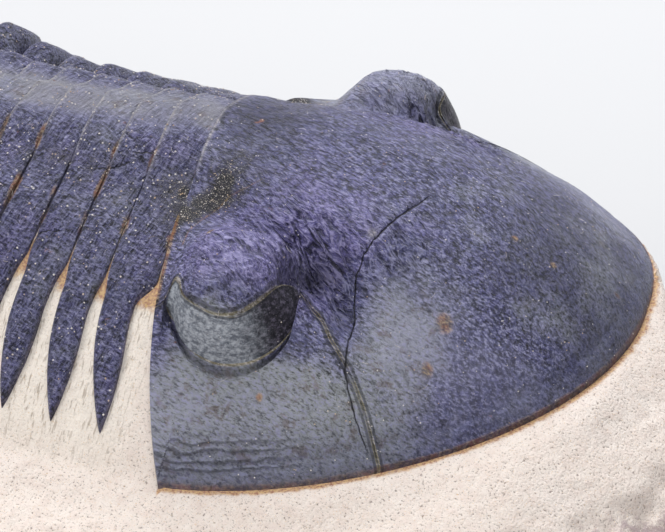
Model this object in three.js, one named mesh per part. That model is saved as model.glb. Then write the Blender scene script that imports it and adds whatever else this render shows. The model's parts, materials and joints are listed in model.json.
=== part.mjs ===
import * as THREE from 'three';

// Millimetres. +X is the way the animal faces, -Y its right side, +Z up.
// While the shapes are made, x = 0 is the back of the head on the midline
// and z = 0 is the level of the rock round the shell.

// Driving dimensions: head
const HEAD_LENGTH = 26.4;    // from x = 0 to the front of the head
const HEAD_HALF = 20.07;     // half width at the rear corners of the cheeks
const CORNER_X = 5.2;        // rear corners of the cheeks, ahead of the midline
const FRONT_RISE = 3.07;     // height of the front edge
const HEAD_CREST = 12.0;     // height of the head on the midline
const RIM_HEIGHT = 8.1;      // rim of the eye
const FURROW_DEPTH = 0.75;   // furrow each side of the raised middle of the head
const LEFT_SKEW = 0.12;      // the left cheek was squeezed forward in the rock

// Driving dimensions: thorax and tail shield
const SEGMENTS = 10;
const SEGMENT_PITCH = 2.4;
const THORAX_START = -0.2;
const TIP_Y = 18.9;          // half width over the free tips
const AXIS_HALF = 5.7;       // half width of the raised middle
const AXIS_RISE = 3.1;
const FIRST_TIP_X = 1.2;     // free tip of the first segment
const TIP_PITCH = 3.1;       // the tips fan out
const TAIL_LENGTH = 28.5;
const TAIL_HALF = 18.2;
const TAIL_RISE = 11.0;

// Driving dimensions: shell and rock
const SHELL = 1.1;           // shell with the mineral that fills it
const EDGE = 0.6;            // shell at its free edge
const GAP = 0.3;             // clearance between two pieces
const ROCK_LENGTH = 104;
const ROCK_WIDTH = 80;
const ROCK_CENTRE_X = -13.2;
const ROCK_DEPTH = 19;       // from the level of the shell's edge to the sawn base
const CORNER_BREAK = 0.28;   // share of the block broken away at its left front corner
const CORNER_FALL = 2.2;     // slope of that break
const CORNER_FOOT = -15.5;

const THORAX_END = THORAX_START - SEGMENTS * SEGMENT_PITCH;

const clamp = (v, lo = 0, hi = 1) => Math.min(Math.max(v, lo), hi);
const mix = (a, b, t) => a + (b - a) * t;
const ease = (a, b, x) => {
  const t = clamp((x - a) / (b - a));
  return t * t * (3 - 2 * t);
};
const mound = (d, w) => Math.exp(-((d / w) ** 2));

// Outline and vault of the head.
const headShare = (x) => clamp((x - CORNER_X) / (HEAD_LENGTH - CORNER_X));
const headHalf = (x) => HEAD_HALF * (1 - headShare(x) ** 1.46) ** 0.479;
const headEdge = (x) => FRONT_RISE * headShare(x) ** 1.58;
const headBack = (ay) => 0.3 + 0.08 * ay + 3.3 * (ay / HEAD_HALF) ** 4;

function headCrest(x) {
  const u = clamp((x - 5) / (HEAD_LENGTH - 5));
  return FRONT_RISE + (HEAD_CREST - FRONT_RISE) * (1 - u ** 2.07) ** 0.72;
}

const skewAt = (y) => LEFT_SKEW * Math.max(y - 3, 0);

const headSpread = (x, ay) => clamp(ay / Math.max(headHalf(x), 1e-3));

function headVault(x, ay) {
  const r = headSpread(x, ay);
  const f = ease(6, 22, x);
  const g = clamp(1 - (r * r + 1e-3) ** (0.8 + 0.15 * f)) ** (0.92 + 0.12 * f);
  return mix(headEdge(x), headCrest(x), g);
}

function headFloor(x, ay) {
  const inward = Math.min(1 - headSpread(x, ay), 1.5 * (1 - headShare(x)));
  return headVault(x, ay) - EDGE - 1.3 * ease(0, 0.3, inward);
}

// Top of the cranidium: furrows beside the raised middle, and the lobe above the eye.
const furrowLine = (x) => 5.6 + 0.3 * clamp(x, 0, 11) + 4.5 * ease(11, 19, x);
const lobeHeight = (ay) => RIM_HEIGHT + 0.34 * Math.max(14.4 - ay, -1);

function headTop(x, ay) {
  const furrow = FURROW_DEPTH * (1 - 0.85 * ease(11, 17, x));
  let z = headVault(x, ay) - furrow * mound(ay - furrowLine(x), 1.5);
  z -= 0.7 * mound(x - 11.3, 1.9) * mound(ay - 9.4, 1.7);
  const lobe = ease(1.4, 4.6, x) * (1 - ease(8.2, 10.4, x)) * ease(7.2, 10, ay);
  return z + lobe * Math.max(lobeHeight(ay) - z, 0);
}

// Plan of the facial suture, from the back edge of the head, round the rim of
// the eye, to the front edge; and the foot of the eye.
const SUTURE_BACK = [[1.95, 13.05], [2.45, 12.95]];
const EYE_RIM = [[2.9, 12.4], [3.8, 13.4], [5.0, 14.15], [6.3, 14.4], [7.5, 14.05], [8.3, 13.05],
  [8.75, 11.9], [9.0, 10.9]];
const SUTURE_FRONT = [[9.7, 10.4], [10.4, 10.5], [11.3, 11.0], [12.1, 11.8], [13.3, 12.6], [14.9, 13.9],
  [16.6, headHalf(16.6)]];
const EYE_FOOT = [[2.6, 13.0], [3.5, 14.1], [4.9, 14.8], [6.6, 15.1], [8.3, 14.6], [9.5, 13.5],
  [10.05, 12.2], [9.7, 10.8]];

// Thorax: a low vault with a raised middle.
const swell = (x) => ease(1, 20, -x) - 0.5 * ease(20, 28, -x);

function thoraxVault(x, ay) {
  const y = clamp(ay, 0, 19.8);
  const side = 8.9 * (1 - (y / 19.8) ** 2.5) + swell(x) * (0.6 + 1.1 * mound(y - 9, 3));
  const axis = AXIS_RISE * clamp(1 - (y / AXIS_HALF) ** 2.2) ** 0.95;
  return side + axis - 0.45 * mound(y - 5.6, 0.9) + 0.2 * mound(y - 8, 1.8);
}

const thoraxFloor = (x, ay) => thoraxVault(x, ay) - SHELL - 0.5 * EDGE * ease(16, 6, ay);

function segmentEdges(k, ay) {
  const middle = THORAX_START - (k - 0.5) * SEGMENT_PITCH;
  const swing = FIRST_TIP_X - (k - 1) * TIP_PITCH - middle;
  const centre = middle + 0.06 * Math.min(ay, 9) + (swing - 0.5) * clamp((ay - 8) / (TIP_Y - 8)) ** 1.6;
  const t = clamp((ay - 11.6) / (TIP_Y - 11.6));
  const half = ((SEGMENT_PITCH - GAP) / 2) * (1 - 0.12 * ease(0, 0.15, t)) * (1 - t) ** 0.7;
  return [centre + half, centre - half];
}

function segmentTop(k, ay, w) {
  const ring = ease(6.2, 4.6, ay);
  const relief = 0.3 * ring + 0.5 * mound(ay - 8.2, 2.2) + 0.32 * ease(10, 12, ay);
  const middle = THORAX_START - (k - 0.5) * SEGMENT_PITCH;
  return thoraxVault(middle, ay) + relief * ((4 * w * (1 - w)) ** 0.8 - 0.75) + 0.22 * ring * (w - 0.5);
}

// Tail shield.
const tailShare = (x) => clamp((THORAX_END - x) / TAIL_LENGTH);
const tailHalf = (x) => TAIL_HALF * (1 - tailShare(x) ** 2.3) ** 0.55;

function tailTop(x, ay) {
  const v = tailShare(x);
  const r = clamp(ay / Math.max(tailHalf(x), 1e-3));
  const crest = 1 + TAIL_RISE * (1 - v ** 1.8) ** 0.85;
  const dome = mix(0.7, crest, clamp(1 - r * r) ** 0.9);
  return mix(thoraxVault(THORAX_END, ay), dome, ease(0, 0.3, v));
}

function tailFloor(x, ay) {
  const r = clamp(ay / Math.max(tailHalf(x), 1e-3));
  return tailTop(x, ay) - EDGE - 0.5 * ease(0, 0.25, 1 - Math.max(r, tailShare(x)));
}

// Rock: follows the underside of the shell, and slopes off beyond it.
function shellFloor(px, y) {
  const ay = Math.abs(y);
  const x = px - (px > 0 ? skewAt(y) : 0);
  if (x > headBack(ay) && ay <= HEAD_HALF) {
    return x <= HEAD_LENGTH && ay <= headHalf(x) ? headFloor(x, ay) : -99;
  }
  if (x > THORAX_END) return ay < TIP_Y + 0.3 ? thoraxFloor(x, ay) : -99;
  return ay <= tailHalf(x) && x > THORAX_END - TAIL_LENGTH ? tailFloor(x, ay) : -99;
}

function distanceOut(x, y) {
  const along = Math.max(x - 4, -48 - x, 0) / 23;
  return Math.hypot(along, y / 19.5) * 20 - 20;
}

function rockTop(x, y) {
  const away = Math.max(distanceOut(x, y), 0);
  const far = ease(1, 8, y);
  const front = 2.6 * ease(14, 25, x) * (1 - ease(0, mix(9, 3, far), away));
  const thorax = 0.45 * ease(3, 0, x) * (1 - ease(0, 4, away));
  const waves = 0.5 * Math.sin(x * 0.19 + 1.3) * Math.sin(y * 0.23 + 0.4) + 0.3 * Math.sin(x * 0.41 - y * 0.3);
  const cliff = 6.5 * (1 - Math.exp(-0.4 * Math.max(away - 0.5, 0))) + 0.25 * away;
  const plain = front + thorax - 0.95 - mix(0.2 * Math.max(away - 2, 0), cliff, far) + waves * ease(2, 12, away);
  const broken = Math.max(-0.9 - CORNER_FALL * Math.max(away - 0.4, 0), CORNER_FOOT);
  const open = mix(plain, Math.min(plain, broken), ease(-4, 5, x) * far);
  const near = Math.abs(y) < 12 ? 1.6 : 0.7;
  let under = 99;
  for (const [dx, dy] of [[0, 0], [1.5, 0], [-1.5, 0], [0, near], [0, -near]]) {
    under = Math.min(under, shellFloor(x + dx, y + dy));
  }
  return under > -50 ? under - GAP - 0.2 : open;
}

// A closed body from rows of [x, y, top, bottom]: both skins, walled where the rows end.
function closedBody(rows) {
  const found = new Map();
  const upper = [];
  const lower = [];
  const indexOf = ([x, y, top, bottom]) => {
    const key = `${Math.round(x * 2000)},${Math.round(y * 2000)}`;
    if (!found.has(key)) {
      found.set(key, upper.length);
      upper.push([x, y, top]);
      lower.push([x, y, bottom]);
    }
    return found.get(key);
  };
  const grid = rows.map((row) => row.map(indexOf));
  const faces = [];
  for (let i = 0; i + 1 < grid.length; i++) {
    for (let j = 0; j + 1 < grid[i].length; j++) {
      const [a, b, c, d] = [grid[i][j], grid[i][j + 1], grid[i + 1][j + 1], grid[i + 1][j]];
      for (const face of [[a, b, c], [a, c, d]]) {
        if (new Set(face).size === 3) faces.push(face);
      }
    }
  }
  const area = faces.reduce((sum, [a, b, c]) => {
    const [p, q, r] = [upper[a], upper[b], upper[c]];
    return sum + (q[0] - p[0]) * (r[1] - p[1]) - (q[1] - p[1]) * (r[0] - p[0]);
  }, 0);
  if (area < 0) faces.forEach((face) => face.reverse());
  const edges = new Set(faces.flatMap(([a, b, c]) => [`${a},${b}`, `${b},${c}`, `${c},${a}`]));
  const open = [...edges].map((e) => e.split(',').map(Number)).filter(([a, b]) => !edges.has(`${b},${a}`));
  return { upper, lower, faces, open };
}

function geometryOf(points, faces) {
  const geometry = new THREE.BufferGeometry();
  geometry.setAttribute('position', new THREE.Float32BufferAttribute(points.flat(), 3));
  geometry.setIndex(faces.flat());
  geometry.computeVertexNormals();
  return geometry;
}

function shellGeometry(rows) {
  const { upper, lower, faces, open } = closedBody(rows);
  const n = upper.length;
  const under = faces.map(([a, b, c]) => [a + n, c + n, b + n]);
  const walls = open.flatMap(([a, b]) => [[a, a + n, b + n], [a, b + n, b]]);
  return geometryOf([...upper, ...lower], [...faces, ...under, ...walls]);
}

// Points along an open line, evenly by length.
function alongLine(points, count) {
  const lengths = [0];
  for (let i = 1; i < points.length; i++) {
    lengths.push(lengths[i - 1] + Math.hypot(points[i][0] - points[i - 1][0], points[i][1] - points[i - 1][1]));
  }
  const total = lengths[lengths.length - 1];
  return Array.from({ length: count + 1 }, (_, k) => {
    const at = (total * k) / count;
    let i = 1;
    while (i < points.length - 1 && lengths[i] < at) i++;
    const t = (at - lengths[i - 1]) / (lengths[i] - lengths[i - 1]);
    return [mix(points[i - 1][0], points[i][0], t), mix(points[i - 1][1], points[i][1], t)];
  });
}

// The same line moved sideways by a small distance, away from or towards the midline.
function shifted(points, distance) {
  return points.map(([x, y], i) => {
    const [x0, y0] = points[Math.max(i - 1, 0)];
    const [x1, y1] = points[Math.min(i + 1, points.length - 1)];
    const length = Math.hypot(x1 - x0, y1 - y0);
    return [x - ((y1 - y0) / length) * distance, y + ((x1 - x0) / length) * distance];
  });
}

function marginLine(x0, x1, count) {
  const angle = (x) => Math.asin(headShare(x));
  return Array.from({ length: count + 1 }, (_, k) => {
    const share = Math.sin(mix(angle(x0), angle(x1), k / count));
    const x = CORNER_X + (HEAD_LENGTH - CORNER_X) * share;
    return [x, headHalf(x)];
  });
}

const suture = [...alongLine(SUTURE_BACK, 1), ...alongLine(EYE_RIM, 9), ...alongLine(SUTURE_FRONT, 7)];
const RIM_FROM = 2;
const RIM_TO = 11;

function cranidium() {
  const side = shifted(suture, -GAP / 2);
  side[0][0] = headBack(side[0][1]);
  const margin = marginLine(side[side.length - 1][0], HEAD_LENGTH, 8).slice(1);
  const outline = [...side, ...margin];
  const steps = 7;
  const count = outline.length - 1;
  const half = outline.map(([ox, oy], i) => {
    const s = i / count;
    const from = outline[Math.min(i, count - 1)][0];
    const middle = 0.3 + 0.96 * (Math.min(from, 16.6) - outline[0][0]) + 0.4 * Math.max(from - 16.6, 0);
    return Array.from({ length: steps + 1 }, (_, j) => {
      const t = j / steps;
      const y = oy * (1 - t);
      const bend = headBack(y) - mix(headBack(outline[0][1]), 0.3, t);
      const x = mix(ox, middle, t) + bend * (1 - s) ** 6;
      const onLobe = i >= RIM_FROM && i <= RIM_TO && j === 0;
      const top = onLobe ? lobeHeight(y) : headTop(x, y);
      return [x, y, top, headFloor(x, y)];
    });
  });
  const right = half.map((row) => row.map(([x, y, a, b]) => [x, -y, a, b]));
  const left = half.map((row) => row.map(([x, y, a, b]) => [x + skewAt(y), y, a, b]));
  return shellGeometry([...right, ...left.reverse()]);
}

function freeCheek(side) {
  const inner = shifted(suture, GAP / 2);
  inner[0][0] = headBack(inner[0][1]);
  const count = inner.length - 1;
  const foot = [...inner.slice(0, RIM_FROM), ...alongLine(EYE_FOOT, RIM_TO - RIM_FROM), ...inner.slice(RIM_TO + 1)];
  const outer = marginLine(CORNER_X, inner[count][0], count);
  const steps = 6;
  const rows = inner.map((p, i) => {
    const s = i / count;
    const onEye = i >= RIM_FROM && i <= RIM_TO;
    const line = [];
    if (onEye) line.push([p[0], p[1], lobeHeight(p[1]) - 0.1]);
    else line.push([p[0], p[1], headTop(p[0], p[1])]);
    for (let j = onEye ? 0 : 1; j <= steps; j++) {
      const t = j / steps;
      const y = mix(foot[i][1], outer[i][1], t);
      const bend = headBack(y) - mix(headBack(inner[0][1]), CORNER_X, t);
      const x = mix(foot[i][0], outer[i][0], t) + bend * (1 - s) ** 4;
      line.push([x, y, onEye && j === 0 ? headVault(x, y) - 0.25 : headVault(x, y)]);
    }
    if (!onEye) line.splice(1, 0, line[0].map((v, k) => mix(v, line[1][k], 0.12)));
    return line.map(([x, y, z]) => [x + skewAt(side * y), side * y, z, headFloor(x, y)]);
  });
  return shellGeometry(rows);
}

function segment(k) {
  const stations = [0, 2, 4.2, 5.3, 6.3, 8, 9.8, 11.8, 14, 16.2, 17.7, TIP_Y];
  const half = stations.map((ay) => {
    const [front, back] = segmentEdges(k, ay);
    return [0, 0.22, 0.6, 1].map((w) => {
      const x = mix(front, back, w);
      return [x, ay, segmentTop(k, ay, w), thoraxFloor(x, ay)];
    });
  });
  const mirrored = half.slice(1).map((row) => row.map(([x, y, a, b]) => [x, -y, a, b])).reverse();
  return shellGeometry([...mirrored, ...half]);
}

function pygidium() {
  const count = 16;
  const steps = 7;
  const half = Array.from({ length: count + 1 }, (_, i) => {
    const s = i / count;
    const edge = THORAX_END - GAP / 2 - (TAIL_LENGTH - GAP / 2) * Math.sin((s * Math.PI) / 2);
    const middle = THORAX_END - GAP / 2 - (12 * Math.min(i, count - 1)) / count;
    return Array.from({ length: steps + 1 }, (_, j) => {
      const t = j / steps;
      const y = tailHalf(edge) * (1 - t);
      const front = segmentEdges(SEGMENTS, Math.min(y, 11.6))[1] - GAP - 0.12 * Math.max(y - 9, 0) ** 1.5;
      const x = mix(edge, middle, t) + (front - (THORAX_END - GAP / 2)) * (1 - s) ** 3;
      return [x, y, tailTop(x, y), tailFloor(x, y)];
    });
  });
  const right = half.map((row) => row.map(([x, y, a, b]) => [x, -y, a, b]));
  return shellGeometry([...right, ...half.reverse()]);
}

function matrix() {
  const spread = (t) => Math.sign(t) * (Math.abs(t) < 0.8 ? Math.abs(t) * 0.93 : 0.744 + (Math.abs(t) - 0.8) * 1.28);
  const outlineShare = (angle) => {
    const [c, s] = [Math.abs(Math.cos(angle)), Math.abs(Math.sin(angle))];
    const uneven = 0.97 + 0.03 * Math.sin(3 * angle + 0.8) + 0.02 * Math.sin(5 * angle + 2)
      - CORNER_BREAK * mound(angle - 0.925, 0.349);
    return (Math.max(c, s) / (c ** 3.6 + s ** 3.6) ** (1 / 3.6)) * uneven;
  };
  const [nx, ny] = [38, 22];
  const rows = [];
  for (let i = 0; i <= nx; i++) {
    const row = [];
    for (let j = 0; j <= ny; j++) {
      const a = spread((2 * i) / nx - 1);
      const b = spread((2 * j) / ny - 1);
      const reach = Math.max(Math.abs(a), Math.abs(b));
      const share = mix(1, outlineShare(Math.atan2(b, a)), reach ** 6);
      const x = ROCK_CENTRE_X + (a * ROCK_LENGTH * share) / 2;
      const y = (b * ROCK_WIDTH * share) / 2;
      row.push([x, y, rockTop(x, y) - 1.2 * ease(0.93, 1, reach), 0]);
    }
    rows.push(row);
  }
  const { upper, faces, open } = closedBody(rows);
  const ring = [open[0][0]];
  const next = new Map(open);
  while (ring.length < open.length) ring.push(next.get(ring[ring.length - 1]));
  const points = [...upper];
  const all = [...faces];
  let above = ring;
  for (const [depth, inset] of [[0.45, -0.025], [1, 0.04]]) {
    const level = ring.map((v, k) => {
      const [x, y, z] = upper[v];
      const rough = 1 - inset + 0.008 * Math.sin(k * 1.7) + 0.006 * Math.sin(k * 0.6);
      points.push([ROCK_CENTRE_X + (x - ROCK_CENTRE_X) * rough, y * rough, mix(z, -ROCK_DEPTH, depth)]);
      return points.length - 1;
    });
    above.forEach((v, k) => {
      const n = (k + 1) % ring.length;
      all.push([v, level[k], level[n]], [v, level[n], above[n]]);
    });
    above = level;
  }
  points.push([ROCK_CENTRE_X, 0, -ROCK_DEPTH]);
  above.forEach((v, k) => all.push([v, points.length - 1, above[(k + 1) % above.length]]));
  return geometryOf(points, all);
}

const shellMaterial = () => new THREE.MeshStandardMaterial({ color: 0x34353f, roughness: 0.55, metalness: 0 });
const rockMaterial = () => new THREE.MeshStandardMaterial({ color: 0xddd0c4, roughness: 0.95, metalness: 0 });

const pieces = [
  ['matrix', matrix(), rockMaterial()],
  ['cranidium', cranidium(), shellMaterial()],
  ['free_cheek_right', freeCheek(-1), shellMaterial()],
  ['free_cheek_left', freeCheek(1), shellMaterial()],
  ...Array.from({ length: SEGMENTS }, (_, i) => [
    `thorax_segment_${String(i + 1).padStart(2, '0')}`, segment(i + 1), shellMaterial(),
  ]),
  ['pygidium', pygidium(), shellMaterial()],
];

const box = new THREE.Box3();
for (const [, geometry] of pieces) {
  geometry.computeBoundingBox();
  box.union(geometry.boundingBox);
}
const centre = box.getCenter(new THREE.Vector3());

const fossil = new THREE.Group();
fossil.name = 'trilobite_fossil';
for (const [name, geometry, material] of pieces) {
  geometry.translate(-centre.x, -centre.y, -box.min.z);
  const mesh = new THREE.Mesh(geometry, material);
  mesh.name = name;
  fossil.add(mesh);
}

export default fossil;
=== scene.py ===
import json
import math

import bpy
import numpy as np
from mathutils import Matrix, Vector

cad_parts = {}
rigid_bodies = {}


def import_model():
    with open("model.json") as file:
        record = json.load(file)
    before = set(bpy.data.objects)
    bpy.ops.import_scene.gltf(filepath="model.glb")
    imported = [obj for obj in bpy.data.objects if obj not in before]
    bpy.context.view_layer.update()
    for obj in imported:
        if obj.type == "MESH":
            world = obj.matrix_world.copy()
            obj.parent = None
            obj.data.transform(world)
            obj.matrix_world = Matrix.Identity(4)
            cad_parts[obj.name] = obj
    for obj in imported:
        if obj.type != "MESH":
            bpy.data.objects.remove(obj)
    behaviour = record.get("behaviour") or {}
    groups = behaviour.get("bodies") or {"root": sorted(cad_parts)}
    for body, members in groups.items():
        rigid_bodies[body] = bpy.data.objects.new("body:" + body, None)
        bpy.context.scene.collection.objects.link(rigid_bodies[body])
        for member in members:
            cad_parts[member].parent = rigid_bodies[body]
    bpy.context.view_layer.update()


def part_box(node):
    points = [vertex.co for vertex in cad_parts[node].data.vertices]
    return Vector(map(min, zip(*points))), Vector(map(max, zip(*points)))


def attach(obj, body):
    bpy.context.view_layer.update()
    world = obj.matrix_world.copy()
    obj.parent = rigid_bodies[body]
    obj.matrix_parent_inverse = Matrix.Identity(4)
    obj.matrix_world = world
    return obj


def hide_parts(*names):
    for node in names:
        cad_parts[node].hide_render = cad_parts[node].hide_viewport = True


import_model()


# The middle of the head is one domed plate of dark shell, turned to stone with the
# mineral that fills it. A furrow runs down each side of its raised middle, a lobe
# stands out over each eye, and it still lies on the rock that it was found in.
HEAD_LENGTH = 26.4       # millimetres, from the back of the head on the midline
HEAD_HALF = 20.07
CORNER_X = 5.2
FRONT_RISE = 3.07
HEAD_CREST = 12.0
RIM_HEIGHT = 8.1
FURROW_DEPTH = 0.75
LOBE_DOME = 0.75
LEFT_SKEW = 0.12
EDGE = 0.6
HEAD_ROWS = 165          # rows along the suture, and along the margin in front of it
MARGIN_ROWS = 115
HEAD_COLUMNS = 120
UNDER_STEP = 5           # the underside keeps every fifth column
SUTURE_BACK = [[1.95, 13.05], [2.45, 12.95]]
EYE_RIM = [[2.9, 12.4], [3.8, 13.4], [5.0, 14.15], [6.3, 14.4], [7.5, 14.05], [8.3, 13.05],
           [8.75, 11.9], [9.0, 10.9]]
RIM_DROP = [0.75, 0.55, 0.25, 0.3, 0.3, 0.25, 0.35, 0.95]
SUTURE_FRONT = [[9.7, 10.4], [10.4, 10.5], [11.3, 11.0], [12.1, 11.8], [13.3, 12.6], [14.9, 13.9]]
SUTURE_END = 16.6
EYE_FOOT = [[2.62, 12.85], [3.1, 13.25], [3.7, 13.85], [4.45, 14.36], [5.4, 14.66], [6.45, 14.72],
            [7.45, 14.5], [8.35, 14.1], [9.13, 13.45], [9.71, 12.63], [9.96, 11.8], [9.8, 10.9]]
CRACK = [(14.6, -1.2), (13.95, -3.1), (13.09, -4.8), (12.78, -5.41), (12.59, -6.13), (12.23, -7.2),
         (12.14, -8.01), (12.45, -9.06), (12.88, -10.24), (13.09, -11.49), (13.41, -12.85),
         (14.3, -14.1), (15.57, -15.19)]
SEDIMENT_LINE = [(2.13, -9.74), (2.11, -8.92), (2.32, -8.4), (2.67, -6.84), (3.3, -5.77),
                 (4.14, -5.35), (4.89, -4.68)]
PIT_LINE = [(8.95, 10.75), (9.2, 9.9), (9.75, 8.8)]
VALLEY_LINE = [(9.9, 7.7), (10.75, 8.0), (11.8, 9.1), (12.1, 10.6)]
CHIP_AT = (12.25, -6.05)
RUST_SPOTS = [(17.56, -10.99, 0.5), (17.66, -8.68, 0.7), (25.09, -0.04, 0.25), (21.75, -1.99, 0.3),
              (19.41, -2.01, 0.3), (5.52, -8.98, 0.35), (3.8, -9.58, 0.35), (9.4, -15.6, 0.3)]

# Soft spots on each side of the head: x, y, reach along x, reach along y and strength.
LOW_FOLDS = [(6.2, 12, 3.0, 3.0, 1), (14, 6.6, 2.3, 2.3 / 1.3, 0.7)]
STEEP_FOLDS = [(8.9, 7.9, 2.0, 2.0, 1), (11.1, 8.4, 1.9, 1.9, 0.9)]
FINE_FOLDS = [(8.3, 7.8, 2.4, 2.0, 1), (13.6, 6.4, 1.9, 2.2, 0.8), (6.2, 11.4, 2.6, 2.6, 0.7)]
DENT = [(2.6, 8.5, 1.9, 3, 0.9)]
FAR_LOBE = [(6, 11, 4.5, 4.5, 1)]
SOIL_PATCH = [(0, 0, 3.4, 1.25, 1)]
VIOLET_SPOTS = [(10.5, 7.0, 7.5, 5.5, 1.2), (15.2, 10.2, 2.6, 3.25, -1.6), (6.2, 11.2, 3.2, 3.2, 1)]
# Spots of painted light and shade on the head, lighter where the strength is below 0, with some of
# the shell's own tone among them.
PAINTED_LIGHT_AND_TONE_SPOTS = [(6.2, 11.8, 2.6, 2.6, -0.45), (3.0, 0, 4.0, 5, 0.7), (19.5, 10.5, 3.5, 3.5, -0.55),
              (7, 4.5, 4, 1.8, 0.25), (15.2, 10.2, 2.4, 3.0, -0.5), (22.5, 7.5, 2.6, 2.6, -0.35)]
SOIL_AT = (2.1, 6.4)
SOIL_TURN = -60

FAR_OFF = 9.0            # a distance at which a line leaves no mark
PLAIN_SHELL = {"edge": FAR_OFF, "crack": FAR_OFF, "soil": 0, "rust": 0, "tint": 0, "shade": 0,
               "folded": 0, "hoop": 0, "pale": 0, "foot": FAR_OFF, "eye": 0, "eye_front": 0,
               "seam": FAR_OFF}
LEAST_SHELL = 0.3
CLOSEST = 2000           # points nearer than half a thousandth of a millimetre are one
SHARP_FROM = math.radians(55)

head_low, head_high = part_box("cranidium")
ANIMAL_AT = np.array([head_high[0] * 1000 - HEAD_LENGTH, (head_low[1] + head_high[1]) * 500, 19.0])


def mix(a, b, t):
    return a + (b - a) * t


def ease(a, b, x):
    t = np.clip((x - a) / (b - a), 0, 1)
    return t * t * (3 - 2 * t)


def mound(d, w):
    return np.exp(-((d / w) ** 2))


def roughness(x, y, seed, octaves):
    """Smooth unevenness over the plan, from -1 to 1, with finer layers over coarse ones."""
    heights = np.random.default_rng(seed).random((256, 256)) * 2 - 1
    total, share, reach = 0, 1.0, 0.0
    for _ in range(octaves):
        column, row = np.floor(x).astype(int), np.floor(y).astype(int)
        u, v = x - column, y - row
        u, v = u * u * u * (u * (u * 6 - 15) + 10), v * v * v * (v * (v * 6 - 15) + 10)
        c0, c1, r0, r1 = column & 255, (column + 1) & 255, row & 255, (row + 1) & 255
        total = total + share * mix(mix(heights[c0, r0], heights[c1, r0], u),
                                    mix(heights[c0, r1], heights[c1, r1], u), v)
        reach += share
        x, y, share = x * 2.03 + 17.3, y * 2.03 + 5.7, share * 0.5
    return total / reach


def uneven(x, y, size, seed, octaves):
    """Unevenness in lumps of about one size, in millimetres."""
    return roughness(x / size, y / size, seed, octaves)


def spots(x, y, table):
    """The soft spots of a table, added up."""
    return sum(strength * mound(np.hypot((x - at_x) / long, (y - at_y) / wide), 1)
               for at_x, at_y, long, wide, strength in table)


def turned(x, y, degrees):
    """The plan seen along a direction: (along, across)."""
    c, s = math.cos(math.radians(degrees)), math.sin(math.radians(degrees))
    return x * c + y * s, y * c - x * s


def run_along(points):
    """How far each point of a line lies from its first."""
    return np.concatenate([[0], np.cumsum(np.linalg.norm(np.diff(points, axis=0), axis=1))])


def smooth_line(points, count):
    """A smooth curve through the points, in even steps."""
    p = np.array(points, float)
    t = run_along(p[:, :2])
    slope = np.gradient(p, t, axis=0)

    def at(u):
        i = np.clip(np.searchsorted(t, u, side="right") - 1, 0, len(t) - 2)
        h = (t[i + 1] - t[i])[:, None]
        f = (u - t[i])[:, None] / h
        return ((2 * f**3 - 3 * f**2 + 1) * p[i] + (f**3 - 2 * f**2 + f) * h * slope[i]
                + (3 * f**2 - 2 * f**3) * p[i + 1] + (f**3 - f**2) * h * slope[i + 1])

    steps = np.linspace(0, t[-1], 4000)
    run = run_along(at(steps))
    return at(np.interp(np.linspace(0, run[-1], count + 1), run, steps))


def line_distance(x, y, line, signed=False):
    """Distance in plan to a line of points. Signed, it is negative on the line's right."""
    line = np.array(line, float)
    best = np.full(x.shape, 1e9)
    side = np.ones(x.shape)
    for (ax, ay), (bx, by) in zip(line[:-1, :2], line[1:, :2]):
        dx, dy = bx - ax, by - ay
        along = np.clip(((x - ax) * dx + (y - ay) * dy) / max(dx * dx + dy * dy, 1e-9), 0, 1)
        away = np.hypot(x - ax - along * dx, y - ay - along * dy)
        nearer = away < best
        best = np.where(nearer, away, best)
        if signed:
            side = np.where(nearer, np.sign((y - ay) * dx - (x - ax) * dy), side)
    return best * side


def head_share(x):
    return np.clip((x - CORNER_X) / (HEAD_LENGTH - CORNER_X), 0, 1)


def head_half(x):
    return HEAD_HALF * (1 - head_share(x) ** 1.46) ** 0.479


def head_back(ay):
    return 0.3 + 0.08 * ay + 3.3 * (ay / HEAD_HALF) ** 4


def head_spread(x, ay):
    return np.clip(ay / np.maximum(head_half(x), 1e-3), 0, 1)


def head_vault(x, ay):
    u = np.clip((x - 5) / (HEAD_LENGTH - 5), 0, 1)
    crest = FRONT_RISE + (HEAD_CREST - FRONT_RISE) * (1 - u**2.07) ** 0.72
    edge = FRONT_RISE * head_share(x) ** 1.58
    r, f = head_spread(x, ay), ease(6, 22, x)
    rise = np.clip(1 - (r * r + 1e-3) ** (0.8 + 0.15 * f), 0, 1) ** (0.92 + 0.12 * f)
    return mix(edge, crest, rise)


def head_floor(x, ay):
    inward = np.minimum(1 - head_spread(x, ay), 1.5 * (1 - head_share(x)))
    return head_vault(x, ay) - EDGE - 1.3 * ease(0, 0.3, inward)


def lobe_height(ay):
    return RIM_HEIGHT + 0.34 * np.maximum(14.4 - ay, -1)


def head_top(x, ay):
    furrow_line = 5.6 + 0.3 * np.clip(x, 0, 11) + 4.5 * ease(11, 19, x)
    furrow = FURROW_DEPTH * (1 - 0.85 * ease(11, 17, x))
    z = head_vault(x, ay) - furrow * mound(ay - furrow_line, 1.5)
    z = z - 0.7 * mound(x - 11.3, 1.9) * mound(ay - 9.4, 1.7)
    lobe = ease(1.4, 4.6, x) * (1 - ease(8.2, 10.4, x)) * ease(7.2, 10, ay)
    return z + lobe * np.maximum(lobe_height(ay) - z, 0)


def with_height(points, height):
    points = np.array(points, float)
    return np.column_stack([points, height(points)])


rim_points = with_height(EYE_RIM, lambda p: lobe_height(p[:, 1]))
rim_points[:, 2] -= RIM_DROP
front_points = with_height(SUTURE_FRONT + [[SUTURE_END, float(head_half(SUTURE_END))]],
                           lambda p: head_top(p[:, 0], p[:, 1]))
back_points = with_height(SUTURE_BACK, lambda p: head_top(p[:, 0], p[:, 1]))
back_points[0, 0] = head_back(back_points[0, 1])
suture = smooth_line(np.vstack([back_points, rim_points, front_points]), HEAD_ROWS)


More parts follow.
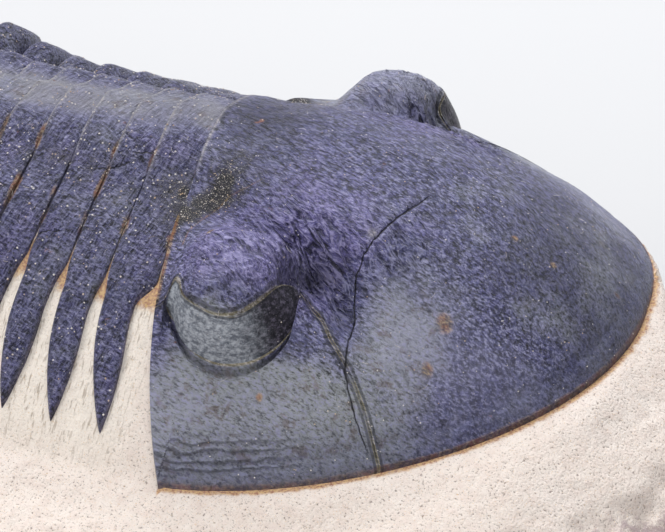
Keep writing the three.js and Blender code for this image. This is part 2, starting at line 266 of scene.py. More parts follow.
def margin_line(x0, x1, count):
    """The outer edge of the head between two stations."""
    angle = np.linspace(math.asin(head_share(x0)), math.asin(head_share(x1)), count + 1)
    x = CORNER_X + (HEAD_LENGTH - CORNER_X) * np.sin(angle)
    return np.column_stack([x, head_half(x)])


whole_margin = margin_line(CORNER_X, HEAD_LENGTH, 160)


def shell_marks(shape, **known):
    """Every mark of a piece of shell, with the value for plain shell where none is known."""
    return {key: np.broadcast_to(known.get(key, plain), shape)
            for key, plain in PLAIN_SHELL.items()}


def head_marks(x, y):
    """The head's relief, and marks for its colours: what weather, rock and tools left on it, and
    painted light and shade.
    """
    ay = np.abs(y)
    along, across = turned(x, y, 22)
    low_folds = 1 - np.abs(roughness(along / 1.5, across / 0.34, 11, 2))
    along, across = turned(x, y, -32)
    steep_folds = 1 - np.abs(roughness(along / 1.7, across / 0.38, 12, 2))
    folds = (0.24 * low_folds**3 * spots(x, ay, LOW_FOLDS)
             + 0.38 * steep_folds**3 * spots(x, ay, STEEP_FOLDS))
    swell = 0.10 * uneven(x, y, 3.1, 13, 3) + 0.03 * uneven(x, y, 0.7, 14, 2)
    from_back = x - head_back(ay)
    height = (folds + swell * ease(0, 2, head_half(x) - ay)) * ease(0, 1, from_back)
    pit = mound(line_distance(x, ay, PIT_LINE), 0.75)
    valley = mound(line_distance(x, ay, VALLEY_LINE), 0.85)
    height = height - 0.75 * pit - 0.35 * valley
    height = height - (y > 0) * spots(x, ay, DENT)
    crack = line_distance(x, y, CRACK, signed=True) + 0.09 * uneven(x, y, 0.55, 16, 3)
    fade = ease(0.2, 2.4, np.hypot(x - CRACK[0][0], y - CRACK[0][1]))
    height = height - 0.09 * fade * mound(crack, 0.09)
    height = height - 0.035 * fade * ease(0.35, 0.0, np.maximum(crack, 0)) * (crack > 0)
    edge = np.where(x < CORNER_X, np.maximum(HEAD_HALF - ay + 0.35, 0),
                    line_distance(x, ay, whole_margin))
    height = height - 0.09 * mound(edge - 0.8, 0.2) + 0.03 * ease(0.7, 0.5, edge)
    height = height - 0.3 * mound(edge, 0.14)

    along, across = turned(x - SOIL_AT[0], ay - SOIL_AT[1], SOIL_TURN)
    soil = spots(along, across, SOIL_PATCH) - 0.45 + 0.45 * uneven(x, y, 0.5, 15, 3)
    soil = ease(-0.3, 0.5, soil)
    rust = sum(mound(np.hypot(x - a, y - b), r) for a, b, r in RUST_SPOTS)
    rust = rust + 0.75 * mound(line_distance(x, -ay, SEDIMENT_LINE), 0.13)
    rust = rust + (mound(from_back, 0.3) * ease(7.0, 8.6, ay) * ease(14, 12.5, ay)
                   * np.where(y < 0, 1.1, 0.4))
    rust = rust + mound(edge, 0.14)
    far_lobe = (y > 0) * spots(x, ay, FAR_LOBE)
    tint = (spots(x, ay, VIOLET_SPOTS) - 0.4 + 0.25 * ease(14, 4, x) - 2.2 * far_lobe
            - 1.3 * ease(12.5, 15, ay) * ease(19, 14, x) * ease(1.5, 5, x))
    # The shade mark is painted light and shade: darker in the pit, the valley, at the eye's foot
    # and on the front slope, lighter on the near cheek, and lighter on the far lobe as painted
    # sheen.
    painted_shade_at_eye_foot = mound(line_distance(x, ay, EYE_FOOT), 0.9) * (ay > 12)
    shade = (spots(x, ay, PAINTED_LIGHT_AND_TONE_SPOTS) + 0.85 * pit + 0.5 * valley + 0.5 * painted_shade_at_eye_foot - 0.8 * far_lobe
             + 0.5 * ease(16, 21, x) * ease(9, 4, ay) - 0.35 * ease(13, 16, ay) * ease(15, 11, x))
    # a pale chip by the crack, and a painted highlight along the back edge of the head
    chip = mound(np.hypot((x - CHIP_AT[0]) * 1.2, y - CHIP_AT[1]), 0.28)
    pale = np.maximum(chip, 0.7 * mound(from_back - 0.1, 0.1) * ease(5.4, 3.6, ay))
    return height, shell_marks(x.shape, edge=edge, crack=crack / np.maximum(fade, 0.05), soil=soil,
                               rust=rust, tint=tint, shade=shade, pale=pale,
                               folded=spots(x, ay, FINE_FOLDS) + 0.8 * valley)


def triangles(a, b, c, d):
    """Two triangles in each square of a grid, from the numbers of its corners."""
    return np.concatenate([np.stack(t, -1).reshape(-1, 3) for t in ((a, b, c), (a, c, d))])


def plate(name, halves, step):
    """A closed plate from grids of x, y, top and bottom, with the marks of each grid."""
    points = np.concatenate([grid.reshape(-1, 4) for grid, _ in halves])
    keys = np.round(points[:, :3] * CLOSEST).astype(np.int64)
    _, first, which = np.unique(keys, axis=0, return_index=True, return_inverse=True)
    which = which.reshape(-1)
    top, under, start = [], [], 0
    for grid, _ in halves:
        rows, columns = grid.shape[:2]
        n = which[start:start + rows * columns].reshape(rows, columns)
        start += rows * columns
        upper = triangles(n[:-1, :-1], n[:-1, 1:], n[1:, 1:], n[1:, :-1])
        kept = sorted({*range(0, columns, step), columns - 1})
        m = n[:, kept]
        lower = [triangles(m[1:-1, :-1], m[1:-1, 1:], m[2:, 1:], m[2:, :-1])]
        for j0, j1 in zip(kept[:-1], kept[1:]):
            lower.append(np.array([(n[0, k], n[0, k + 1], n[1, j0]) for k in range(j0, j1)]
                                  + [(n[0, j1], n[1, j1], n[1, j0])]))
        lower = np.concatenate(lower)
        p, q, r = (points[first[upper[:, i]], :2] for i in range(3))
        area = (q[:, 0] - p[:, 0]) * (r[:, 1] - p[:, 1]) - (q[:, 1] - p[:, 1]) * (r[:, 0] - p[:, 0])
        if area.sum() < 0:
            upper, lower = upper[:, ::-1], lower[:, ::-1]
        top.append(upper)
        under.append(lower)

    def whole(t):
        return t[(t[:, 0] != t[:, 1]) & (t[:, 1] != t[:, 2]) & (t[:, 0] != t[:, 2])]

    top, under, size = whole(np.concatenate(top)), whole(np.concatenate(under)), len(first)
    edges = np.concatenate([top[:, [0, 1]], top[:, [1, 2]], top[:, [2, 0]]])
    codes, back = edges[:, 0] * size + edges[:, 1], edges[:, 1] * size + edges[:, 0]
    rim = edges[~np.isin(codes, back)]
    walls = np.concatenate([np.column_stack([rim[:, 0], rim[:, 0] + size, rim[:, 1] + size]),
                            np.column_stack([rim[:, 0], rim[:, 1] + size, rim[:, 1]])])
    faces = np.concatenate([top, under[:, ::-1] + size, walls])
    merged = points[first]
    spots = np.concatenate([merged[:, [0, 1, 2]], merged[:, [0, 1, 3]]])
    used = np.unique(faces)
    place = np.full(2 * size, -1)
    place[used] = np.arange(len(used))
    marks = {key: np.concatenate([marks[key].reshape(-1) for _, marks in halves])[first]
             for key in halves[0][1]}
    marks = {key: np.concatenate([values, values])[used] for key, values in marks.items()}
    return solid(name, spots[used], place[faces], marks)


def put_mark(mesh, name, values):
    """Keeps a number for each point on a mesh."""
    mark = mesh.attributes.new(name, "FLOAT", "POINT")
    mark.data.foreach_set("value", values.astype(np.float32))


def placed(name, data):
    """A new object in the scene."""
    made = bpy.data.objects.new(name, data)
    bpy.context.scene.collection.objects.link(made)
    return made


def solid(name, spots, faces, marks):
    """A smooth-shaded object of triangles. Its points are in the animal's millimetres."""
    mesh = bpy.data.meshes.new(name)
    mesh.vertices.add(len(spots))
    mesh.vertices.foreach_set("co", ((spots + ANIMAL_AT) / 1000).astype(np.float32).ravel())
    mesh.loops.add(faces.size)
    mesh.loops.foreach_set("vertex_index", faces.astype(np.int32).ravel())
    mesh.polygons.add(len(faces))
    mesh.polygons.foreach_set("loop_start", np.arange(0, faces.size, 3, dtype=np.int32))
    mesh.update(calc_edges=True)
    mesh.validate()
    for key, values in marks.items():
        put_mark(mesh, key, values)
    mesh.shade_smooth()
    mesh.set_sharp_from_angle(angle=SHARP_FROM)
    return placed(name, mesh)


class Reading:
    """A number, colour or direction in a finish. Sums on it add Math nodes."""

    def __init__(self, finish, socket):
        self.finish, self.socket = finish, socket

    def sum(self, operation, *values):
        inputs = {i: value for i, value in enumerate(values)}
        return self.finish.node("ShaderNodeMath", {"operation": operation}, inputs)

    def __add__(self, other):
        return self.sum("ADD", self, other)

    __radd__ = __add__

    def __sub__(self, other):
        return self.sum("SUBTRACT", self, other)

    def __rsub__(self, other):
        return self.sum("SUBTRACT", other, self)

    def __mul__(self, other):
        return self.sum("MULTIPLY", self, other)

    __rmul__ = __mul__

    def abs(self):
        return self.sum("ABSOLUTE", self)

    def sine(self):
        return self.sum("SINE", self)

    def most(self, other):
        return self.sum("MAXIMUM", self, other)

    def least(self, other):
        return self.sum("MINIMUM", self, other)

    def ease(self, start, end):
        """0 at start and 1 at end, smoothly."""
        return self.finish.node("ShaderNodeMapRange", {"interpolation_type": "SMOOTHSTEP"},
                                {"Value": self, "From Min": start, "From Max": end})


class Finish:
    """The nodes of one material."""

    def __init__(self, name):
        self.material = bpy.data.materials.new(name)
        self.material.use_nodes = True
        self.tree = self.material.node_tree
        self.tree.nodes.clear()

    def node(self, kind, settings=None, inputs=None, output=0):
        made = self.tree.nodes.new(kind)
        for key, value in (settings or {}).items():
            setattr(made, key, value)
        for key, value in (inputs or {}).items():
            if isinstance(value, Reading):
                self.tree.links.new(value.socket, made.inputs[key])
            else:
                made.inputs[key].default_value = value
        return Reading(self, made.outputs[output])

    def millimetres(self, stretch=(1, 1, 1), turn=0):
        """The object's own place in millimetres, stretched and turned about Z for a grain."""
        place = self.node("ShaderNodeTexCoord", output="Object")
        scale = tuple(1000 * s for s in stretch)
        if turn:
            place = self.node("ShaderNodeVectorRotate", {"rotation_type": "Z_AXIS"},
                              {"Vector": place, "Angle": math.radians(turn)})
        return self.node("ShaderNodeVectorMath", {"operation": "MULTIPLY"}, {0: place, 1: scale})

    def grain(self, place, scale, detail=2.0, soft=0.5, bend=0.0):
        """Cloudy noise from 0 to 1, with scale grains to the millimetre."""
        return self.node("ShaderNodeTexNoise", None,
                         {"Vector": place, "Scale": scale, "Detail": detail, "Roughness": soft,
                          "Distortion": bend}, "Fac")

    def mark(self, name):
        """A number kept on the mesh."""
        return self.node("ShaderNodeAttribute", {"attribute_name": name}, None, "Fac")

    def blend(self, share, first, second):
        """From the first colour to the second."""
        first = first if isinstance(first, Reading) else (*first, 1)
        second = second if isinstance(second, Reading) else (*second, 1)
        return self.node("ShaderNodeMix", {"data_type": "RGBA"}, {0: share, 6: first, 7: second}, 2)

    def coats(self, color, *coats):
        """Lays coats over a colour one by one. Each is how much of it shows, and its colour."""
        for share, coat in coats:
            color = self.blend(share, color, coat)
        return color

    def bump(self, height, distance, under=None):
        """Fine relief on the surface, distance in metres for a height of 1."""
        inputs = {"Height": height, "Distance": distance, "Strength": 1.0}
        if under is not None:
            inputs["Normal"] = under
        return self.node("ShaderNodeBump", None, inputs)

    def surface(self, fixed, **inputs):
        """Ends the finish in one shader. fixed are values that are the same all over."""
        varying = {key.replace("_", " "): value for key, value in inputs.items()}
        shader = self.node("ShaderNodeBsdfPrincipled", None, {**fixed, **varying})
        output = self.tree.nodes.new("ShaderNodeOutputMaterial")
        self.tree.links.new(shader.socket, output.inputs["Surface"])
        return self.material


NAVY = (0.018, 0.018, 0.052)
SLATE = (0.096, 0.095, 0.238)
VIOLET = (0.132, 0.113, 0.315)
LILAC = (0.390, 0.358, 0.610)
PALE_GREY = (0.300, 0.300, 0.470)
GREEN_GREY = (0.325, 0.345, 0.345)
BLUE = (0.062, 0.070, 0.180)
RUST = (0.330, 0.110, 0.030)
BROWN = (0.105, 0.060, 0.040)
OCHRE = (0.420, 0.300, 0.130)
CREAM = (0.620, 0.560, 0.470)
SILVER = (0.360, 0.350, 0.380)
OLIVE = (0.200, 0.170, 0.085)
INK = (0.006, 0.006, 0.010)
SOIL = (0.028, 0.027, 0.030)
LENS_DULL, LENS_PALE = (0.100, 0.115, 0.145), (0.410, 0.440, 0.490)
LENS_BLACK, LENS_DARK = (0.009, 0.008, 0.015), (0.125, 0.110, 0.160)
LENS_DUST = (0.30, 0.28, 0.30)

shell = Finish("fossil_shell")
at = shell.millimetres()
cloud = shell.grain(at, 0.35, 5, 0.6)
patch = shell.grain(at, 1.1, 4, 0.65)
mottle = shell.grain(at, 2.4, 5, 0.72)
fleck = shell.grain(shell.millimetres((0.45, 1.35, 1.2), 12), 5.0, 4, 0.75)
dust = shell.grain(at, 13.0, 2, 0.6)
stray = shell.grain(at, 0.9, 3, 0.6)
hoop, soil, pale, edge = (shell.mark(name) for name in ("hoop", "soil", "pale", "edge"))
eye, foot, seam = (shell.mark(name) for name in ("eye", "foot", "seam"))
crack = shell.mark("crack").abs()
folded = shell.mark("folded").least(1.0)
shade = shell.mark("shade") + (cloud - 0.5) * 0.6
tint = shell.mark("tint") + (cloud - 0.5) * 2.2

# folds run one way on the head and another on the hoops
head_grain = shell.grain(shell.millimetres((0.42, 1.9, 0.9), 32), 1.25, 2, 0.5, 0.9)
hoop_grain = shell.grain(shell.millimetres((3.2, 0.6, 0.9), 14), 1.3, 4, 0.65, 0.5)
wrinkle = 1 - (head_grain + (hoop_grain - head_grain) * hoop - 0.5).abs() * 7
wrinkled = (0.20 + folded * 0.8 + hoop * 0.35).least(1.0)
speckled = 1 - folded * 0.55 - (0 - shell.mark("tint")).ease(0.3, 1.3) * 0.25

# fine steps lie along the margin, and fade out before the front of the head
ahead = shell.node("ShaderNodeSeparateXYZ", None, {0: at}) - float(ANIMAL_AT[0])
terraces = (edge * 19.0 + cloud * 16.0 + mottle * 3.0).sine()
terraces = terraces * edge.ease(2.4, 1.2) * edge.ease(0.1, 0.5) * ahead.ease(15.0, 9.0)

# the lens wall is pale behind and painted nearly black in front as shade, in a bead and a groove
# that holds painted shadow
eye_front = shell.mark("eye_front") + (mottle - 0.5) * 0.25
lens_grain = shell.grain(shell.millimetres((1.0, 1.0, 1.5)), 3.0, 5, 0.75)
lens_painted_shade = shell.blend(lens_grain.ease(0.45, 0.7), LENS_BLACK, LENS_DARK)
lens_color = shell.coats(shell.blend(lens_grain.ease(0.36, 0.66), LENS_DULL, LENS_PALE),
                         (eye_front.ease(0.54, 0.74), lens_painted_shade),
                         (dust.ease(0.66, 0.72), LENS_DUST))
bead = (foot + 0.02).abs().ease(0.11, 0.04)
painted_groove_shadow = (foot - 0.25).abs().ease(0.22, 0.05)
seam_line = (seam - 0.05).abs().ease(0.075, 0.02) * shell.grain(at, 0.8, 2).ease(0.3, 0.55)
seam_side = (seam - 0.19).abs().ease(0.11, 0.04)

rust_at = (shell.mark("rust") * (fleck * 1.5 + mottle - 0.25)).ease(0.45, 1.0)
rust_color = shell.coats(BROWN, (patch.ease(0.42, 0.62), RUST))
rust_color = shell.blend(fleck.ease(0.45, 0.65), rust_color, OCHRE)
fleck_and_painted_highlight = shell.blend(tint.ease(0.1, 1.0), PALE_GREY, LILAC)
silt = shell.blend(fleck.ease(0.45, 0.68), OLIVE, CREAM)
color = shell.coats(
    NAVY,
    (mottle.ease(0.40, 0.62), SLATE),
    (patch.ease(0.48, 0.66) * 0.6, BLUE),
    (tint.ease(0.0, 1.2) * (0.25 + mottle * 0.9), VIOLET),
    ((0 - tint).ease(0.0, 1.2) * (0.35 + mottle * 0.9), GREEN_GREY),
    # light flecks, partly the shell's own grain and partly painted glints, with fewer of them where
    # painted shade lies
    (fleck.ease(0.50, 0.62) * (0.85 - shade * 0.65) * speckled, fleck_and_painted_highlight),
    (fleck.ease(0.50, 0.37) * 0.98 * speckled, INK),
    # painted highlights on the wrinkle ridges and painted shade in their creases
    (wrinkle.ease(0.60, 0.95) * wrinkled * 0.65, fleck_and_painted_highlight),
    (wrinkle.ease(0.40, -0.20) * wrinkled * 0.75, INK),
    # painted shade where the shade mark is above 0, and painted light where it is below 0
    (shade.ease(0.1, 1.1) * 0.72, INK),
    ((0 - shade).ease(0.1, 0.8) * 0.35 * (0.5 + mottle), PALE_GREY),
    # a painted silvery sheen along the crest of each hoop
    ((0 - shade).ease(0.6, 1.3) * hoop * (0.2 + mottle * 0.8), SILVER),
    ((soil * (0.5 + fleck * 1.2)).least(1.0) * 0.9, SOIL),
    (soil * dust.ease(0.58, 0.64) * 0.8, CREAM),
    # painted highlights on raised edges, and the pale chip
    (pale * (mottle * 2.2 - 0.45).most(0.0).least(0.9),
     shell.blend(fleck.ease(0.45, 0.6), SILVER, CREAM)),
    (rust_at * 0.75, rust_color),
    (stray.ease(0.70, 0.78) * 0.55, RUST),
    ((0 - tint).ease(0.2, 1.0) * patch.ease(0.46, 0.34) * 0.45, BROWN),
    (dust.ease(0.68, 0.75) * 0.6, CREAM),
    (edge.ease(2.6, 0.2) * 0.45, shell.blend(mottle.ease(0.35, 0.65), NAVY, BLUE)),
    (terraces.ease(0.1, 0.9) * 0.55, INK),
    (eye, lens_color),
    # painted shadow in the groove outside the eye's foot, darker towards the front
    (painted_groove_shadow * (0.45 + 0.45 * eye_front.ease(0.5, 0.8)), INK),
    (bead * 0.8, silt),
    (seam_side * 0.6, INK),
    (seam_line * (0.3 + mottle * 0.8), silt),
    (crack.ease(0.055, 0.02) * 0.9, INK))
relief = mottle * 0.45 + fleck * 0.55 + dust * 0.2 + wrinkle * wrinkled * 0.85
normal = shell.bump(relief * (1 - eye * 0.5) + soil * dust * 1.2, 0.00024)
normal = shell.bump(terraces * 0.6 + crack.ease(0.0, 0.08), 0.00005, normal)
rough = 0.28 + mottle * 0.2 + soil * 0.35 + rust_at * 0.25 - eye * 0.04
shell_material = shell.surface(
    {"Sheen Weight": 0.05, "Sheen Roughness": 0.4, "Specular IOR Level": 0.34},
    Base_Color=color, Roughness=rough, Normal=normal)


def finished(piece, node, material):
    """The piece stands for its solid, rides on the fossil and takes its finish."""
    piece.data.materials.append(material)
    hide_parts(node)
    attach(piece, "root")
    return piece


head_margin = margin_line(SUTURE_END, HEAD_LENGTH, MARGIN_ROWS)[1:]
outline = np.vstack([suture[:, :2], head_margin])
outline_height = np.concatenate([suture[:, 2], head_top(head_margin[:, 0], head_margin[:, 1])])
rim_share = np.linspace(0, 1, len(outline))
from_x = np.maximum.accumulate(outline[:, 0])
from_x[-1] = from_x[-2]
midline = (0.3 + 0.96 * (np.minimum(from_x, SUTURE_END) - outline[0, 0])
           + 0.4 * np.maximum(from_x - SUTURE_END, 0))
inward = np.linspace(0, 1, HEAD_COLUMNS + 1)[None, :]
plan_y = outline[:, 1:2] * (1 - inward)
bend = head_back(plan_y) - mix(head_back(outline[0, 1]), 0.3, inward)
plan_x = mix(outline[:, :1], midline[:, None], inward) + bend * (1 - rim_share[:, None]) ** 6
from_edge = np.hypot(plan_x - plan_x[:, :1], plan_y - plan_y[:, :1])
rise = (outline_height - head_top(plan_x[:, 0], plan_y[:, 0]))[:, None]
on_suture = ease(HEAD_ROWS + 2, HEAD_ROWS - 6, np.arange(len(outline)))[:, None]
dome = LOBE_DOME * ease(1.0, 0.25, np.hypot((plan_x - 6.0) / 4.2, (plan_y - 11.2) / 3.9))
plan_z = head_top(plan_x, plan_y) + dome + (rise - dome[:, :1]) * mound(from_edge, 1.15)
plan_z = plan_z - 0.1 * on_suture * mound(from_edge, 0.1)
plan_z = plan_z + 0.06 * on_suture * mound(from_edge - 0.3, 0.16)
halves = []
for side in (-1, 1):
    height, marks = head_marks(plan_x, side * plan_y)
    marks["seam"] = line_distance(plan_x, plan_y, suture)
    top = plan_z + height * ease(0, 0.25, from_edge)
    bottom = np.minimum(head_floor(plan_x, plan_y), top - LEAST_SHELL)
    skew = LEFT_SKEW * np.maximum(side * plan_y - 3, 0)
    halves.append((np.stack([plan_x + skew, side * plan_y, top, bottom], -1), marks))
head_middle = plate("head_middle", halves, UNDER_STEP)
finished(head_middle, "cranidium", shell_material)


# Each cheek is the side of the head outside the suture, a thin plate that carries the
# eye's curved lens wall. A bead runs round the wall's foot, with a groove outside it,
# and the plate ends in a narrow raised rim that lies on the rock.
LENS_COLUMNS = 26
CHEEK_COLUMNS = 56
LENS_BULGE = 0.16
EYE_CENTRE = (5.9, 10.6)
FOOT_STEPS = 600
BESIDE_EYE = 0.02        # where less of the eye than this is left, its marks end

run = run_along(suture)
eye_from = run[np.argmin(np.hypot(*(suture[:, :2] - SUTURE_BACK[1]).T))]
eye_to = run[np.argmin(np.hypot(*(suture[:, :2] - SUTURE_FRONT[0]).T))]
along_eye = np.clip((run - eye_from) / (eye_to - eye_from), 0, 1)
foot_points = with_height(EYE_FOOT, lambda p: head_vault(p[:, 0], p[:, 1]) - 0.25)
foot_curve = smooth_line(np.vstack([back_points[1:], foot_points, front_points[:1]]), FOOT_STEPS)
foot_line = foot_curve[np.round(along_eye * FOOT_STEPS).astype(int)]
on_eye = (along_eye > 0) & (along_eye < 1)
foot_line = np.where(on_eye[:, None], foot_line, suture)
eye_share = (ease(0, 0.06, along_eye) * ease(1, 0.95, along_eye))[:, None]
outer = margin_line(CORNER_X, SUTURE_END, HEAD_ROWS)
lens = np.linspace(0, 1, LENS_COLUMNS + 1)[None, :-1]
lens_wall = suture[:, None, :] * (1 - lens[..., None]) + foot_line[:, None, :] * lens[..., None]
outward = foot_line[:, :2] - EYE_CENTRE
outward = outward / np.linalg.norm(outward, axis=1, keepdims=True)
bulge = LENS_BULGE * np.sin(np.pi * lens) * eye_share
lens_wall[..., :2] += outward[:, None, :] * bulge[..., None]
across = np.linspace(0, 1, CHEEK_COLUMNS + 1)[None, :] ** 1.15
row_share = np.linspace(0, 1, HEAD_ROWS + 1)[:, None]
cheek_y = mix(foot_line[:, 1:2], outer[:, 1:2], across)
bend = head_back(cheek_y) - mix(head_back(suture[0, 1]), CORNER_X, across)
cheek_x = mix(foot_line[:, :1], outer[:, :1], across) + bend * (1 - row_share) ** 4
from_foot = np.hypot(cheek_x - cheek_x[:, :1], cheek_y - cheek_y[:, :1])
rise = foot_line[:, 2:3] - head_vault(cheek_x[:, :1], cheek_y[:, :1])
cheek_z = head_vault(cheek_x, cheek_y) + rise * mound(from_foot, mix(1.1, 0.45, eye_share))
cheek_z = cheek_z - eye_share * (0.34 * mound(from_foot - 0.42, 0.27)
                                 - 0.10 * mound(from_foot, 0.13))
cheek_z = cheek_z - 0.1 * (1 - eye_share) * mound(from_foot, 0.1)
on_wall = eye_share > BESIDE_EYE
eye_front = along_eye[:, None]
wall_length = np.linalg.norm(foot_line - suture, axis=1)[:, None]
for side, name in ((-1, "right"), (1, "left")):
    height, marks = head_marks(cheek_x, side * cheek_y)
    marks["foot"] = np.where(on_wall, from_foot / np.maximum(eye_share, BESIDE_EYE), FAR_OFF)
    marks["seam"] = line_distance(cheek_x, cheek_y, suture) + 3 * eye_share
    marks["eye_front"] = np.broadcast_to(eye_front, cheek_x.shape)
    _, wall_marks = head_marks(lens_wall[..., 0], side * lens_wall[..., 1])
    wall_marks["foot"] = np.where(on_wall, (lens - 1) * wall_length, FAR_OFF)
    wall_marks["eye"] = np.broadcast_to(eye_share, lens_wall.shape[:2])
    wall_marks["eye_front"] = np.broadcast_to(eye_front, lens_wall.shape[:2])
    wall_marks["seam"] = lens * wall_length + 0.05 + 3 * (1 - eye_share)
    wall_marks["rust"] = wall_marks["rust"] * 0
    x = np.hstack([lens_wall[..., 0], cheek_x])
    y = np.hstack([lens_wall[..., 1], cheek_y])
    top = np.hstack([lens_wall[..., 2], cheek_z + height * ease(0, 0.6, from_foot)])
    bottom = np.minimum(head_floor(x, y), top - LEAST_SHELL)
    both = {key: np.hstack([wall_marks[key], marks[key]]) for key in marks}
    grid = np.stack([x + LEFT_SKEW * np.maximum(side * y - 3, 0), side * y, top, bottom], -1)
    cheek = plate(f"cheek_{name}", [(grid, both)], UNDER_STEP)
    finished(cheek, f"free_cheek_{name}", shell_material)


# The thorax is ten narrow hoops of the same shell, each hinged under the one in front.
# The middle of a hoop stands up as a ring with a raised rear edge, and its sides bend
# down to free tips that fan out over the rock.
SEGMENTS = 10
SEGMENT_PITCH = 2.4
THORAX_START = -0.2
TIP_Y = 18.5
AXIS_HALF = 5.7
AXIS_RISE = 3.1
FIRST_TIP_X = 1.2
TIP_PITCH = 3.1
SHELL = 1.1
JOINT_HALF = 1.17        # half of a hoop where it touches the next
TIP_HALF = 0.92
TIP_SET_BACK = 0.35
JOINT_GAP = 0.03
SLIT = 0.24              # share of the gap that is open above the free tips
HOOP_ROWS = 250
HOOP_COLUMNS = 17
HOOP_SPREAD = math.pi / 2 * 0.94   # rows lie closer together towards the tips
VAULT_HALF = 19.8
THORAX_END = THORAX_START - SEGMENTS * SEGMENT_PITCH
RIGHT_SIDE = [(0, 12.0), (1, 11.93), (2, 11.68), (3, 11.22), (4, 10.62), (5, 9.98), (6, 9.42),
              (7, 9.0), (8, 8.62), (10, 7.78), (12, 6.7), (14, 5.32), (16, 3.78), (18, 2.0),
              (VAULT_HALF, 0.2)]
FAR_SINK_AT = [0, 6, 9, 11, 13.4, 15.8, 18.2, 22]   # the left side has sunk a little
FAR_SINK = [0.7, 0.7, 0.85, 1.05, 1.35, 1.05, 0.3, 0.1]
CREST_SINK = [0.2, 0.45, 0.5, 0.6, 0.78, 0.6, 0.5, 0.3]
FAR_SET_BACK = 1.1
THORAX_CRACKS = [[(-3.3, -4.25), (-3.0, -4.1), (-2.6, -3.9)],
                 [(-5.2, -5.6), (-4.4, -5.35), (-3.7, -5.0)],
                 [(-6.8, -10.6), (-6.2, -10.25), (-5.6, -10.1)]]

right_side = smooth_line(RIGHT_SIDE, 400)


def thorax_vault(x, away):
    y = np.clip(np.abs(away), 0, VAULT_HALF)
    swell = ease(1, 20, -x) - 0.5 * ease(20, 28, -x)
    flank = swell * (0.6 + 1.1 * mound(y - 9, 3))
    side = 8.9 * (1 - (y / VAULT_HALF) ** 2.5) + flank
    axis = AXIS_RISE * np.clip(1 - (y / AXIS_HALF) ** 2.2, 0, 1) ** 0.95
    sunk = (0.45 * ease(0, 3, -x) + 0.4 * ease(6, 12, -x) + 0.6 * swell) * ease(4.5, 1.0, y)
    left = side + axis - sunk - 0.45 * mound(y - 5.6, 0.9) + 0.2 * mound(y - 8, 1.8)
    left = left - (np.interp(-x, FAR_SINK_AT, FAR_SINK)
                   * ease(5.2, 7.4, y) * ease(VAULT_HALF, 12, y))
    left = left - (np.interp(-x, FAR_SINK_AT, CREST_SINK)
                   * ease(-0.6, 1.8, away) * ease(7.4, 5.2, y))
    right = np.interp(y, right_side[:, 0], right_side[:, 1]) - sunk + flank
    return mix(left, right, ease(0.6, -0.6, away))


def thorax_floor(x, away):
    return thorax_vault(x, away) - SHELL - 0.5 * EDGE * ease(16, 6, np.abs(away))


def hoop_middle(k):
    return THORAX_START - (k - 0.5) * SEGMENT_PITCH


def free_edges(k, ay):
    """The front and rear edge that a hoop would have on its own."""
    swing = FIRST_TIP_X - (k - 1) * TIP_PITCH - hoop_middle(k)
    outer_share = np.clip((ay - 8) / (TIP_Y - 8), 0, 1)
    centre = hoop_middle(k) + 0.06 * np.minimum(ay, 9) + (swing - 0.5) * outer_share**1.6
    t = np.clip((ay - 14.6) / (TIP_Y - 14.6), 0, 1)
    half = mix(JOINT_HALF, TIP_HALF, ease(9.5, 13.5, ay)) * (1 - t**1.7) ** 0.8
    centre = centre - TIP_SET_BACK * ease(10.5, 14, ay)
    return centre + half, centre - half


def hoop_edges(k, ay):
    """The front and rear edge of a hoop, which touches its neighbours as far as the free tips."""
    front, back = free_edges(k, ay)
    free = SLIT * ease(8.2, 9.2, ay) + (1 - SLIT) * ease(11.2, 12.6, ay)
    ahead = head_back(ay) if k == 1 else (free_edges(k - 1, ay)[1] + front) / 2
    behind = free_edges(k + 1, ay)[0]
    return mix(ahead - JOINT_GAP, front, free), mix((behind + back) / 2 + JOINT_GAP, back, free)


